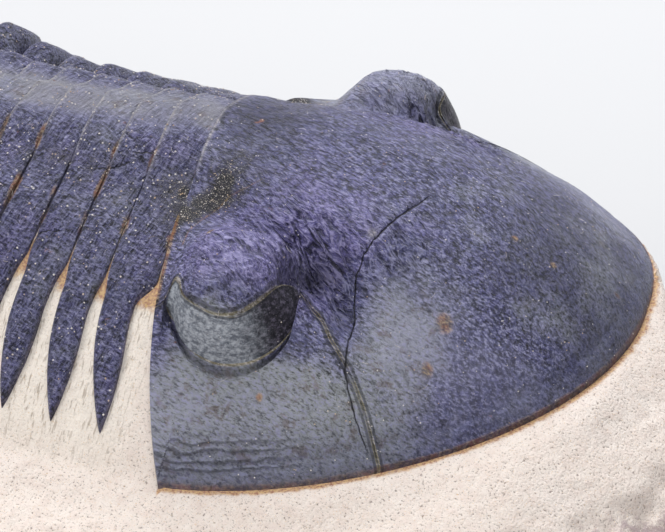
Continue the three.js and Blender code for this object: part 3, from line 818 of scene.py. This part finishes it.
spread = np.linspace(-1, 1, HOOP_ROWS + 1) * HOOP_SPREAD
hoop_y = (TIP_Y * np.sin(spread) / math.sin(HOOP_SPREAD))[:, None]
w = np.clip(0.5 - 0.46 * np.cos(np.linspace(0, math.pi, HOOP_COLUMNS + 1))
            - 0.04 * np.linspace(1, -1, HOOP_COLUMNS + 1), 0, 1)[None, :]   # 0 in front, 1 behind
for k in range(1, SEGMENTS + 1):
    front, back = hoop_edges(k, np.abs(hoop_y))
    x = mix(front, back, w) - FAR_SET_BACK * ease(3, 8, hoop_y) * (w if k == 1 else 1)
    y = hoop_y + 0 * x
    ay = np.abs(y)

    # the ring of the axis, the arched flanks, the furrow and the edges
    ring = ease(6.2, 4.6, ay)
    crest = mix(0.05, 1.65, ease(-2, 2, y))
    relief = 0.13 * ring + crest * mound(ay - 8.2, 2.2) + 0.24 * ease(10, 13, ay)
    z = (thorax_vault(hoop_middle(k), y) + relief * ((4 * w * (1 - w)) ** 0.7 - 0.75)
         + 0.24 * ring * (w - 0.5))
    z = z + 0.07 * ring * mound(w - 0.94, 0.045) - 0.07 * ring * mound(w - 0.84, 0.06)
    furrow = mound(w - mix(0.36, 0.55, ease(7, 14, ay)), 0.13)
    furrow = furrow * ease(6.6, 8.5, ay) * ease(16.5, 13, ay)
    z = z - 0.10 * furrow - 0.10 * mound(w, 0.04) - 0.07 * mound(w - 1, 0.03)
    along, cross = turned(x, y, 82)
    z = z + 0.05 * roughness(along / 2.2, cross / 0.5, 30 + k, 3) + 0.05 * uneven(x, y, 1.9, 50, 2)
    crack = np.full(x.shape, FAR_OFF)
    for line in THORAX_CRACKS:
        away = line_distance(x, y, line, signed=True)
        crack = np.where(np.abs(away) < np.abs(crack), away, crack)
    z = z - 0.12 * mound(crack, 0.1)

    joint = np.minimum(w, 1 - w) * 2 * TIP_HALF
    stained = ease(2.5, 4.5, ay) * ease(11.5, 8.5, ay)
    rust = (0.7 * mound(joint, 0.13) + 0.30 * mound(joint, 0.45)) * mix(1, 0.4, ease(-1, 1, y))
    rust = rust * stained * (0.35 + 0.8 * ease(-0.2, 0.5, roughness(x / 1.3, y / 2.1, 60, 3)))
    rust = rust + 0.55 * mound(joint, 0.1) * ease(10, 12, ay)
    soil = 0.8 * mound(np.hypot((x - 1.0) / 1.2, (ay - 6.5) / 1.6), 1)
    soil = soil + (0.45 * mound(ay - 5.8, 0.9)
                   * ease(-0.1, 0.5, roughness(x / 0.8, y / 1.4, 61, 3)))
    tint = -0.05 + 0.6 * uneven(x, y, 3, 62, 2) - 0.9 * ease(3.6, 1.0, ay)
    # the shade mark on the hoops: painted shade at the joints between hoops, and lighter along the
    # crest as painted sheen, with some random tone
    shade = (0.3 * mound(joint, 0.25) * ease(4, 6, ay) - 1.1 * ease(4.2, 1.0, ay)
             + 0.35 * roughness(x / 2, y / 3, 63, 2))
    # the pale mark here is a painted highlight along each hoop's raised rear edge
    marks = shell_marks(x.shape, crack=crack, soil=soil, rust=rust, tint=tint, shade=shade, hoop=1,
                        pale=mound(w - 0.955, 0.035) * ease(6.5, 3.0, ay))
    grid = np.stack([x, y, z, np.minimum(thorax_floor(x, y), z - LEAST_SHELL)], -1)
    hoop = plate(f"hoop_{k:02d}", [(grid, marks)], 1)
    finished(hoop, f"thorax_segment_{k:02d}", shell_material)


# The tail shield is one broad plate. A short raised axis ends near its front, and low
# ribs fan out from it and fade into a flat border.
TAIL_LENGTH = 28.5
TAIL_HALF = 18.2
TAIL_RISE = 11.0
TAIL_ROWS = 190
TAIL_COLUMNS = 110
TAIL_FURROW = 12         # how far its raised middle reaches back
RIB_PAIRS = 7
RIBS_FROM = 3.5          # behind its front edge, where the ribs spread from
TAIL_GAP = 0.06


def tail_share(x):
    return np.clip((THORAX_END - x) / TAIL_LENGTH, 0, 1)


def tail_half(x):
    return TAIL_HALF * (1 - tail_share(x) ** 2.3) ** 0.55


def tail_top(x, y):
    v, ay = tail_share(x), np.abs(y)
    r = np.clip(ay / np.maximum(tail_half(x), 1e-3), 0, 1)
    crest = 1 + TAIL_RISE * (1 - v**1.8) ** 0.85
    dome = mix(0.7, crest, np.clip(1 - r * r, 0, 1) ** 0.9)
    return mix(thorax_vault(THORAX_END, y), dome, ease(0, 0.3, v))


def tail_floor(x, y):
    r = np.clip(np.abs(y) / np.maximum(tail_half(x), 1e-3), 0, 1)
    return tail_top(x, y) - EDGE - 0.5 * ease(0, 0.25, 1 - np.maximum(r, tail_share(x)))


tail_turn = np.sin(np.linspace(0, math.pi / 2, TAIL_ROWS + 1))[:, None]
row_share = np.linspace(0, 1, TAIL_ROWS + 1)[:, None]
tail_front = THORAX_END - TAIL_GAP
tail_edge = tail_front - (TAIL_LENGTH - TAIL_GAP) * tail_turn
counted = np.minimum(np.arange(TAIL_ROWS + 1), TAIL_ROWS - 1)[:, None]
tail_middle = tail_front - TAIL_FURROW * counted / TAIL_ROWS
inward = np.linspace(0, 1, TAIL_COLUMNS + 1)[None, :]
y = tail_half(tail_edge) * (1 - inward)
front = (hoop_edges(SEGMENTS, np.minimum(y, 11.6))[1] - TAIL_GAP
         - 0.12 * np.maximum(y - 9, 0) ** 1.5)
x = mix(tail_edge, tail_middle, inward) + (front - tail_front) * (1 - row_share) ** 3
tail_margin = np.column_stack([tail_edge[:, 0], tail_half(tail_edge[:, 0])])
edge = line_distance(x, y, tail_margin)
behind = THORAX_END - x
angle = np.arctan2(y, behind - RIBS_FROM)
far = np.hypot(y, behind - RIBS_FROM)
ribs = np.cos(angle * (2 * RIB_PAIRS + 1)) * ease(3.0, 6.5, far) * ease(3.2, 7.0, edge)
z = 0.42 * ribs - 0.4 * mound(edge - 3.6, 1.3) - 0.3 * mound(edge, 0.16)
z = (z - 0.25 * mound(behind - 1.6, 0.4) * ease(11, 8, y)
     - 0.2 * mound(behind - 3.4 + 0.05 * y, 0.4) * ease(5.4, 4.2, y))
halves = []
for side in (-1, 1):
    at_y = side * y
    top = (tail_top(x, at_y) + z + 0.09 * uneven(x, at_y, 3.3, 70, 3)
           + 0.03 * uneven(x, at_y, 0.6, 71, 2))
    rust = (mound(edge, 0.3)
            + 0.6 * mound(behind - 0.1, 0.3) * ease(-0.1, 0.5, uneven(x, at_y, 1, 72, 3)))
    # the shade mark on the tail is painted light on the rib tops and painted shade between them,
    # with some random tone
    marks = shell_marks(x.shape, edge=edge, rust=rust, tint=0.1 + 0.8 * uneven(x, at_y, 5, 73, 3),
                        soil=0.5 * mound(y - 5.8, 0.8) * mound(behind, 3),
                        shade=0.3 * uneven(x, at_y, 3, 74, 2) - 0.35 * ribs + 0.15)
    bottom = np.minimum(tail_floor(x, at_y), top - LEAST_SHELL)
    halves.append((np.stack([x, at_y, top, bottom], -1), marks))
tail = plate("tail_shield", halves, UNDER_STEP)
finished(tail, "pygidium", shell_material)


# The rock is a block of pale limestone, sawn flat below and broken round its sides. It
# was ground away with fine tools down to the shell's edge, so its top is a powdery
# slope with tool marks between the free tips, and a rough brown skin further out.
ROCK_LENGTH = 104
ROCK_WIDTH = 80
ROCK_CENTRE_X = -13.2
ROCK_DEPTH = 19
ROCK_SQUARENESS = 3.6
SEEN_X = (-2, 48)        # in here the rock has fine steps, elsewhere coarse ones
SEEN_Y = (-28, 4)
FINE_STEP, COARSE_STEP = 0.27, 1.0
CORNER_BREAK = 0.28      # share of the block broken away at its left front corner
CORNER_TURN = 0.925      # where that corner is, and how far round it reaches, in radians
CORNER_REACH = 0.349
CORNER_FALL = 2.2
CORNER_FOOT = -15.5
SIDE_LEVELS = 22
WAIST = 0.45             # the sides bulge above this share of the depth, and draw in below
BULGE, FOOT_IN = -0.025, 0.04
TUCK = 0.4               # how far the rock reaches in under an edge
CLEAR = 0.12             # and how far it stays below the shell


def spaced(low, high, fine_low, fine_high):
    """Stations that are close together where the rock is seen closely."""
    parts = []
    for a, b, step in ((low, fine_low, COARSE_STEP), (fine_low, fine_high, FINE_STEP),
                       (fine_high, high, COARSE_STEP)):
        parts.append(np.linspace(a, b, max(round((b - a) / step), 1) + 1)[:-1])
    return np.append(np.concatenate(parts), high)


def distance_out(x, y):
    along = np.maximum(np.maximum(x - 4, -48 - x), 0) / 23
    return np.hypot(along, y / 19.5) * 20 - 20


half_x, half_y = ROCK_LENGTH / 2, ROCK_WIDTH / 2
share_x = spaced(-half_x, half_x, *SEEN_X) / half_x
share_y = spaced(-half_y, half_y, *SEEN_Y) / half_y
a, b = np.meshgrid(share_x, share_y, indexing="ij")
reach = np.maximum(np.abs(a), np.abs(b))
turn = np.arctan2(b, a)
c, s = np.abs(np.cos(turn)), np.abs(np.sin(turn))
outline_bend = (0.97 + 0.03 * np.sin(3 * turn + 0.8) + 0.02 * np.sin(5 * turn + 2)
                - CORNER_BREAK * mound(turn - CORNER_TURN, CORNER_REACH))
rounded = (c**ROCK_SQUARENESS + s**ROCK_SQUARENESS) ** (1 / ROCK_SQUARENESS)
block = mix(1, np.maximum(c, s) / rounded * outline_bend, reach**6)
x = ROCK_CENTRE_X + a * ROCK_LENGTH * block / 2
y = b * ROCK_WIDTH * block / 2
ay = np.abs(y)
away = np.maximum(distance_out(x, y), 0)
far = ease(1, 8, y)
front = 2.6 * ease(14, 25, x) * (1 - ease(0, mix(9, 3, far), away))
thorax = 0.45 * ease(3, 0, x) * (1 - ease(0, 4, away))
waves = 0.5 * np.sin(x * 0.19 + 1.3) * np.sin(y * 0.23 + 0.4) + 0.3 * np.sin(x * 0.41 - y * 0.3)
cliff = 6.5 * (1 - np.exp(-0.4 * np.maximum(away - 0.5, 0))) + 0.25 * away
steep = mix(0.2 * np.maximum(away - 2, 0), cliff, far)
ground = front + thorax - 0.95 - steep + waves * ease(2, 12, away)
broken_away = np.maximum(-0.9 - CORNER_FALL * np.maximum(away - 0.4, 0), CORNER_FOOT)
ground = mix(ground, np.minimum(ground, broken_away), ease(-4, 5, x) * far)
plan_x = x - np.where(x > 0, LEFT_SKEW * np.maximum(y - 3, 0), 0)
near_head = line_distance(plan_x, ay, whole_margin)
margin_rise = FRONT_RISE * head_share(plan_x) ** 1.58
rise = mix(margin_rise - 0.42, ground, ease(0.2, mix(3.2, 1.6, far), near_head))
in_head = ((plan_x > head_back(ay) + TUCK) & (plan_x < HEAD_LENGTH) & (ay < head_half(plan_x))
           & ((near_head > TUCK) | (plan_x < CORNER_X)) & (ay < HEAD_HALF - TUCK))
top = np.where(plan_x > CORNER_X, rise, ground)

# under the hoops the rock lies below the shell, and higher between the free tips
below = mix(mix(1.1, 0.34, ease(7.8, 8.8, ay)), 0.62, ease(11, 13, ay))
wedges = thorax_vault(x, y) - below - 1.2 * ease(2, 4, y) * ease(14, 11, y)
tips = ease(22.5, 18.6, ay) * (x > THORAX_END - 3)
beside_thorax = (plan_x <= CORNER_X + 0.2) & (x > THORAX_END - 3)
top = np.where(beside_thorax, mix(ground, wedges, tips), top)
tail_margin_away = line_distance(x, ay, tail_margin)
in_tail = ((x <= THORAX_END) & (x > THORAX_END - TAIL_LENGTH) & (ay < tail_half(x))
           & (tail_margin_away > TUCK))
beside_tail = x <= THORAX_END - 3
top = np.where(beside_tail, mix(0.1, ground, ease(0.2, 3.0, tail_margin_away)), top)
top = np.where(in_head, head_floor(plan_x, ay) - CLEAR, top)
top = np.where(in_tail, np.minimum(tail_floor(x, y) - CLEAR, top + 20 * beside_tail), top)

# tool marks and powder near the animal, and the rough natural skin further out
rind_reach = (away - 5.5 + 0.9 * uneven(x, y, 2.5, 80, 3) - 6 * ease(-8.5, -3, y) * (1 - far)
              + 0.5 * ease(24, 30, x) * ease(-2, -7, y))
hidden = in_head | in_tail
powder = 0.10 * uneven(x, y, 1.1, 81, 4) + 0.05 * uneven(x, y, 0.35, 82, 2)
scrape = 0.10 * roughness(x / 0.5, y / 2.6, 83, 3) * ease(24, 19, ay) * ease(4, 1, x)
rough_skin = 0.9 * uneven(x, y, 2.8, 84, 4) + 0.25 * uneven(x, y, 0.7, 85, 2) - 0.2
rough_skin = rough_skin * (1 - 0.6 * far) - 0.3 * far
carved = powder * ease(0, 0.5, near_head) + scrape + rough_skin * ease(-0.6, 0.6, rind_reach)
top = top + np.where(hidden, 0, carved)
top = top - 1.2 * ease(0.93, 1, reach)

rows, columns = a.shape
number = np.arange(rows * columns).reshape(rows, columns)
faces = [triangles(number[:-1, :-1], number[1:, :-1], number[1:, 1:], number[:-1, 1:])]
ring = np.concatenate([number[:-1, 0], number[-1, :-1], number[:0:-1, -1], number[0, :0:-1]])
points = [np.stack([x, y, top], -1).reshape(-1, 3)]
rim = points[0][ring]
heading = np.arctan2(rim[:, 1], rim[:, 0] - ROCK_CENTRE_X)
above, count = ring, rows * columns
outward = np.stack([np.cos(heading), np.sin(heading)], -1)
ring_run = run_along(rim[:, :2])
circle = ring_run / ring_run[-1] * 2 * math.pi
around_x, around_y = half_y * np.cos(circle), half_y * np.sin(circle)
centre = [ROCK_CENTRE_X, 0]
for level in range(1, SIDE_LEVELS + 1):
    depth = level / SIDE_LEVELS
    if depth < WAIST:
        inset = BULGE * math.sin(min(depth / WAIST, 1) * math.pi / 2)
    else:
        inset = mix(BULGE, FOOT_IN, (depth - WAIST) / (1 - WAIST))
    broken = (0.9 * roughness(around_x / 6, around_y / 6 + depth * 2.4, 90, 3)
              + 0.5 * roughness(around_x / 1.7 + 9, around_y / 1.7 + depth * 6, 91, 3))
    broken = np.clip(broken * ease(1.02, 0.9, depth), -1.2, 0.45) * ease(0, 0.12, depth)
    level_xy = (rim[:, :2] - centre) * (1 - inset) + centre + outward * broken[:, None]
    points.append(np.column_stack([level_xy, mix(rim[:, 2], -ROCK_DEPTH, depth)]))
    here = count + np.arange(len(ring))
    faces += [np.stack([above, here, np.roll(here, -1)], -1),
              np.stack([above, np.roll(here, -1), np.roll(above, -1)], -1)]
    above, count = here, count + len(ring)
points.append(np.array([[ROCK_CENTRE_X, 0, -ROCK_DEPTH]]))
faces.append(np.stack([above, np.full(len(ring), count), np.roll(above, -1)], -1))
points, faces = np.concatenate(points), np.concatenate(faces)
wedge = ease(21, 18, ay) * ease(3.5, 1, x) * ease(11, 12.5, ay)
stain_at_tips = 0.45 * ease(11.6, 10.8, ay) + 1.25 * mound(ay - 11.9, 0.95)
stain = (1.15 * mound(near_head, 0.5) * (plan_x > CORNER_X)
         + stain_at_tips * (plan_x <= CORNER_X) * ease(THORAX_END - 1, THORAX_END + 1, x))
marks = {}
for name, values, on_sides in (("rind", np.clip(rind_reach - 0.7, -3, 3), 3.0),
                               ("wedge", wedge, 0.0), ("stain", stain, 0.0)):
    marks[name] = np.concatenate([values.ravel(), np.full(len(points) - values.size, on_sides)])
rock_body = solid("rock_block", points, faces, marks)

CHALK = (0.800, 0.715, 0.655)
BLUSH = (0.690, 0.560, 0.500)
PIT = (0.210, 0.165, 0.140)
UMBER = (0.165, 0.110, 0.100)
MAUVE = (0.520, 0.420, 0.420)
AMBER = (0.620, 0.370, 0.110)
PALE_CHALK = (0.860, 0.800, 0.760)
MILK = (0.900, 0.840, 0.750)
DRAB = (0.300, 0.230, 0.170)

rock = Finish("limestone")
at = rock.millimetres()
cloud = rock.grain(at, 0.22, 4, 0.6)
mottle = rock.grain(at, 1.6, 5, 0.65)
grit = rock.grain(at, 7.0, 3, 0.6)
speck = rock.grain(at, 13.0, 1, 0.5)
rind = (rock.mark("rind") + (mottle - 0.5) * 2.5 + (grit - 0.5) * 1.6).ease(-0.25, 0.35)
wedge = rock.mark("wedge")
stain = rock.mark("stain")
streak = rock.grain(rock.millimetres((2.2, 0.28, 0.5), -6), 2.6, 3, 0.6)
skin = rock.coats(UMBER, (mottle.ease(0.3, 0.65), MAUVE), (grit.ease(0.55, 0.7) * 0.7, CHALK))
color = rock.coats(
    CHALK,
    (mottle.ease(0.35, 0.75) * 0.55, BLUSH),
    (cloud.ease(0.5, 0.8) * 0.35, PALE_CHALK),
    (grit.ease(0.43, 0.30) * 0.85, PIT),
    (speck.ease(0.33, 0.27) * 0.6, PIT),
    (wedge * 0.6, MILK),
    (wedge * streak.ease(0.54, 0.68) * 0.65, DRAB),
    (speck.ease(0.66, 0.74) * 0.6, AMBER),
    ((stain * (0.3 + mottle * 1.5)).ease(0.45, 1.05) * 0.75,
     rock.blend(grit.ease(0.4, 0.6), RUST, AMBER)),
    (rind * (0.45 + mottle).least(1.0), skin))
normal = rock.bump(mottle * 0.5 + grit * 0.5 + wedge * streak * 0.6, 0.00022)
rock_material = rock.surface({"Specular IOR Level": 0.3}, Base_Color=color,
                             Roughness=0.82 + grit * 0.15, Normal=normal)
finished(rock_body, "matrix", rock_material)


# Fine white dust and broken grains lie on the shell, thickest in the furrow behind the
# lobe and over the hoops. They are stuck there since the rock was ground away.
def scatter_tree(name):
    """Grains on a surface: how many to the square metre, how large, and of what."""
    tree = bpy.data.node_groups.new(name, "GeometryNodeTree")
    sockets = {}
    for label, kind, value in (("Surface", "Geometry", None), ("Density", "Float", 1e6),
                               ("Smallest", "Float", 0.3), ("Largest", "Float", 1.0),
                               ("Seed", "Int", 1), ("Grain", "Object", None),
                               ("Material", "Material", None)):
        sockets[label] = tree.interface.new_socket(label, in_out="INPUT",
                                                   socket_type=f"NodeSocket{kind}")
        if value is not None:
            sockets[label].default_value = value
    tree.interface.new_socket("Grains", in_out="OUTPUT", socket_type="NodeSocketGeometry")
    start = tree.nodes.new("NodeGroupInput")
    end = tree.nodes.new("NodeGroupOutput")

    def node(kind, settings=None, inputs=None):
        made = tree.nodes.new(kind)
        for key, value in (settings or {}).items():
            setattr(made, key, value)
        for key, value in (inputs or {}).items():
            if isinstance(value, bpy.types.NodeSocket):
                tree.links.new(value, made.inputs[key])
            else:
                made.inputs[key].default_value = value
        return made

    where = node("GeometryNodeInputNamedAttribute", {"data_type": "FLOAT"}, {"Name": "dusty"})
    density = node("ShaderNodeMath", {"operation": "MULTIPLY"},
                   {0: start.outputs["Density"], 1: where.outputs["Attribute"]})
    spread = node("GeometryNodeDistributePointsOnFaces", None,
                  {"Mesh": start.outputs["Surface"], "Density": density.outputs[0],
                   "Seed": start.outputs["Seed"]})
    turn = node("FunctionNodeRandomValue", {"data_type": "FLOAT_VECTOR"},
                {"Min": (0, 0, 0), "Max": (0.5, 0.5, 6.28), "Seed": 5})
    size = node("FunctionNodeRandomValue", {"data_type": "FLOAT"},
                {2: start.outputs["Smallest"], 3: start.outputs["Largest"], "Seed": 6})
    tilt = node("FunctionNodeRotateRotation", {"rotation_space": "LOCAL"},
                {"Rotation": spread.outputs["Rotation"], "Rotate By": turn.outputs["Value"]})
    grain = node("GeometryNodeObjectInfo", None, {"Object": start.outputs["Grain"]})
    placed = node("GeometryNodeInstanceOnPoints", None,
                  {"Points": spread.outputs["Points"], "Instance": grain.outputs["Geometry"],
                   "Rotation": tilt.outputs[0], "Scale": size.outputs[1]})
    real = node("GeometryNodeRealizeInstances", None, {"Geometry": placed.outputs[0]})
    made = node("GeometryNodeSetMaterial", None,
                {"Geometry": real.outputs[0], "Material": start.outputs["Material"]})
    tree.links.new(made.outputs[0], end.inputs[0])
    return tree, {label: socket.identifier for label, socket in sockets.items()}


def small_object(name, spots, faces):
    """A shape that is only copied, kept off the scene. Its sizes are in millimetres."""
    mesh = bpy.data.meshes.new(name)
    mesh.from_pydata([tuple(c / 1000 for c in spot) for spot in spots], [], faces)
    return bpy.data.objects.new(name, mesh)


GRAIN_SIZE = 0.1
GRAIN_POINTS = [(0.5, 0, 0), (-0.45, 0.1, 0), (0.05, 0.48, 0), (-0.05, -0.5, 0), (0.05, 0, 0.42),
                (0, 0.05, -0.3)]
GRAIN_FACES = [(0, 2, 4), (2, 1, 4), (1, 3, 4), (3, 0, 4),
               (2, 0, 5), (1, 2, 5), (3, 1, 5), (0, 3, 5)]
FIBRE_LENGTH = 0.75
FIBRE_BOW = 0.16
FIBRE_STEPS = 5
FIBRE_SECTION = [(-0.014, 0.0), (0.014, 0.0), (0.0, 0.024)]
FIBRE_LIFT = 0.03

crumb = small_object("dust_grain", [tuple(GRAIN_SIZE * c for c in p) for p in GRAIN_POINTS],
                     GRAIN_FACES)
fibre_points, fibre_faces = [], []
for i in range(FIBRE_STEPS + 1):
    s = i / FIBRE_STEPS
    bow = FIBRE_BOW * math.sin(s * 2.6)
    for dy, dz in FIBRE_SECTION:
        fibre_points.append((FIBRE_LENGTH * (s - 0.5), bow + dy, FIBRE_LIFT + dz))
for i in range(FIBRE_STEPS):
    for j, n in ((0, 1), (1, 2), (2, 0)):
        fibre_faces.append((3 * i + j, 3 * i + n, 3 * i + 3 + n, 3 * i + 3 + j))
fibre_faces += [(2, 1, 0), tuple(3 * FIBRE_STEPS + j for j in range(3))]
fibre = small_object("dust_fibre", fibre_points, fibre_faces)

WHITE_DUST = (0.72, 0.68, 0.66)
TAN_DUST = (0.50, 0.36, 0.24)

dust_finish = Finish("pale_dust")
at = dust_finish.millimetres()
cloud = dust_finish.grain(at, 1.3, 2, 0.5)
grit = dust_finish.grain(at, 20.0, 1, 0.5)
color = dust_finish.blend(cloud.ease(0.45, 0.68), WHITE_DUST, TAN_DUST)
dust_material = dust_finish.surface({"Specular IOR Level": 0.4}, Base_Color=color,
                                    Roughness=0.6 + grit * 0.3,
                                    Normal=dust_finish.bump(grit, 0.00002))

scatter, inputs = scatter_tree("grains_on_a_surface")


def scattered(name, target, grain, dusty, density, smallest, largest, seed):
    """One mesh of grains over the upper side of a piece, by how dusty each point of it is."""
    source = target.data.copy()
    put_mark(source, "dusty", dusty)
    holder = placed(name + "_on", source)
    modifier = holder.modifiers.new("grains", "NODES")
    modifier.node_group = scatter
    for label, value in (("Density", density), ("Smallest", smallest), ("Largest", largest),
                         ("Seed", seed), ("Grain", grain), ("Material", dust_material)):
        modifier[inputs[label]] = value
    graph = bpy.context.evaluated_depsgraph_get()
    mesh = bpy.data.meshes.new_from_object(holder.evaluated_get(graph))
    holder.modifiers.remove(modifier)
    bpy.data.objects.remove(holder)
    mesh.name = name
    for key in ("dusty", "edge", "crack", "soil", "rust"):
        if key in mesh.attributes:
            mesh.attributes.remove(mesh.attributes[key])
    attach(placed(name, mesh), "root")


def read_mark(piece, key):
    values = np.zeros(len(piece.data.vertices), np.float32)
    piece.data.attributes[key].data.foreach_get("value", values)
    return values


def upward(piece):
    """1 where the surface looks up and is open to the dust."""
    values = np.zeros(len(piece.data.vertices) * 3, np.float32)
    piece.data.vertices.foreach_get("normal", values)
    return np.clip(values.reshape(-1, 3)[:, 2] * 2 - 0.1, 0, 1)


DUST_ON_PLATES = 2.0e6   # grains or fibres to the square metre, where it is dustiest
DUST_ON_HOOPS = 1.9e6
FIBRES_ON_PLATES = 4.5e4
FIBRES_ON_HOOPS = 2.0e5
FIBRE_SEEDS = 50

seed = 20
for piece, amount in ((head_middle, 1.0), (bpy.data.objects["cheek_right"], 0.8),
                      (bpy.data.objects["cheek_left"], 0.6), (tail, 0.7)):
    seed += 1
    dusty = upward(piece) * (0.35 + 5.0 * np.clip(read_mark(piece, "soil"), 0, 1)) * amount
    scattered(f"dust_{piece.name}", piece, crumb, dusty, DUST_ON_PLATES, 0.4, 1.2, seed)
    if piece.name in ("head_middle", "cheek_right"):
        scattered(f"fibres_{piece.name}", piece, fibre, upward(piece), FIBRES_ON_PLATES,
                  0.25, 0.8, seed + FIBRE_SEEDS)
for k in range(1, SEGMENTS + 1):
    seed += 1
    piece = bpy.data.objects[f"hoop_{k:02d}"]
    dusty = upward(piece) * (1.0 + 4.0 * np.clip(read_mark(piece, "soil"), 0, 1))
    scattered(f"dust_{piece.name}", piece, crumb, dusty, DUST_ON_HOOPS, 0.4, 1.8, seed)
    scattered(f"fibres_{piece.name}", piece, fibre, upward(piece), FIBRES_ON_HOOPS,
              0.2, 0.7, seed + FIBRE_SEEDS)


# The fossil is seen on a plain pale floor under soft light, from a little above the
# right side of its head.
VIEW_AZIMUTH = math.radians(22.6)
VIEW_ELEVATION = math.radians(32.8)
VIEW_DISTANCE = 170.0
PIXEL = 0.0615
FRAME_SIZE = (665, 532)
FOCUS = (222.7, 277.8)   # where the back of the head stands in the frame
SENSOR = 36.0
FLOOR_HALF = 3.0
FLOOR_GREY = (0.53, 0.53, 0.54)
FLOOR_PALE = (0.545, 0.545, 0.552)
LIT_POINT = (0.02, 0.0, 0.02)
ROOM_COLOR = (0.97, 0.98, 1.0, 1)
ROOM_LIGHT = 0.38

floor_finish = Finish("pale_floor")
at = floor_finish.millimetres()
cloud = floor_finish.grain(at, 0.01, 3, 0.5)
floor_color = floor_finish.blend(cloud, FLOOR_GREY, FLOOR_PALE)
floor_material = floor_finish.surface({}, Base_Color=floor_color, Roughness=0.6 + cloud * 0.1)
corners = [(-FLOOR_HALF, -FLOOR_HALF, 0), (FLOOR_HALF, -FLOOR_HALF, 0),
           (FLOOR_HALF, FLOOR_HALF, 0), (-FLOOR_HALF, FLOOR_HALF, 0)]
floor_mesh = bpy.data.meshes.new("floor")
floor_mesh.from_pydata(corners, [], [(0, 1, 2, 3)])
floor = placed("floor", floor_mesh)
floor.data.materials.append(floor_material)

ca, sa = math.cos(VIEW_AZIMUTH), math.sin(VIEW_AZIMUTH)
ce, se = math.cos(VIEW_ELEVATION), math.sin(VIEW_ELEVATION)
view_right = np.array([ca, sa, 0.0])
view_up = np.array([-sa * se, ca * se, ce])
view_back = np.array([sa * ce, -ca * ce, se])
aimed = PIXEL * (view_right * (FRAME_SIZE[0] / 2 - FOCUS[0])
                 + view_up * (FOCUS[1] - FRAME_SIZE[1] / 2))
stand = (aimed + view_back * VIEW_DISTANCE + ANIMAL_AT) / 1000
camera_data = bpy.data.cameras.new("camera")
camera_data.sensor_width = SENSOR
camera_data.lens = SENSOR * VIEW_DISTANCE / PIXEL / FRAME_SIZE[0]
camera_data.clip_start, camera_data.clip_end = 0.01, 20
camera = placed("camera", camera_data)
turn = Matrix([view_right, view_up, view_back]).transposed().to_4x4()
camera.matrix_world = Matrix.Translation(Vector(stand)) @ turn
bpy.context.scene.camera = camera


def soft_light(name, place, size, power, color=(1, 1, 1)):
    """A square lamp that looks at the head, in metres and watts."""
    data = bpy.data.lights.new(name, "AREA")
    data.shape, data.size, data.energy, data.color = "SQUARE", size, power, color
    lamp = placed(name, data)
    lamp.location = place
    away = Vector(place) - Vector(LIT_POINT)
    lamp.rotation_euler = away.to_track_quat("Z", "Y").to_euler()


soft_light("back_light", (-0.10, 0.42, 0.42), 0.32, 3.2, (0.95, 0.97, 1.0))
soft_light("top_light", (0.05, -0.05, 0.60), 0.30, 1.5)
soft_light("side_light", (-0.30, -0.45, 0.33), 0.30, 1.7, (1.0, 0.98, 0.96))
world = bpy.data.worlds.new("soft_room")
world.use_nodes = True
background = world.node_tree.nodes["Background"]
background.inputs["Color"].default_value = ROOM_COLOR
background.inputs["Strength"].default_value = ROOM_LIGHT
bpy.context.scene.world = world
bpy.context.scene.view_settings.view_transform = "Standard"
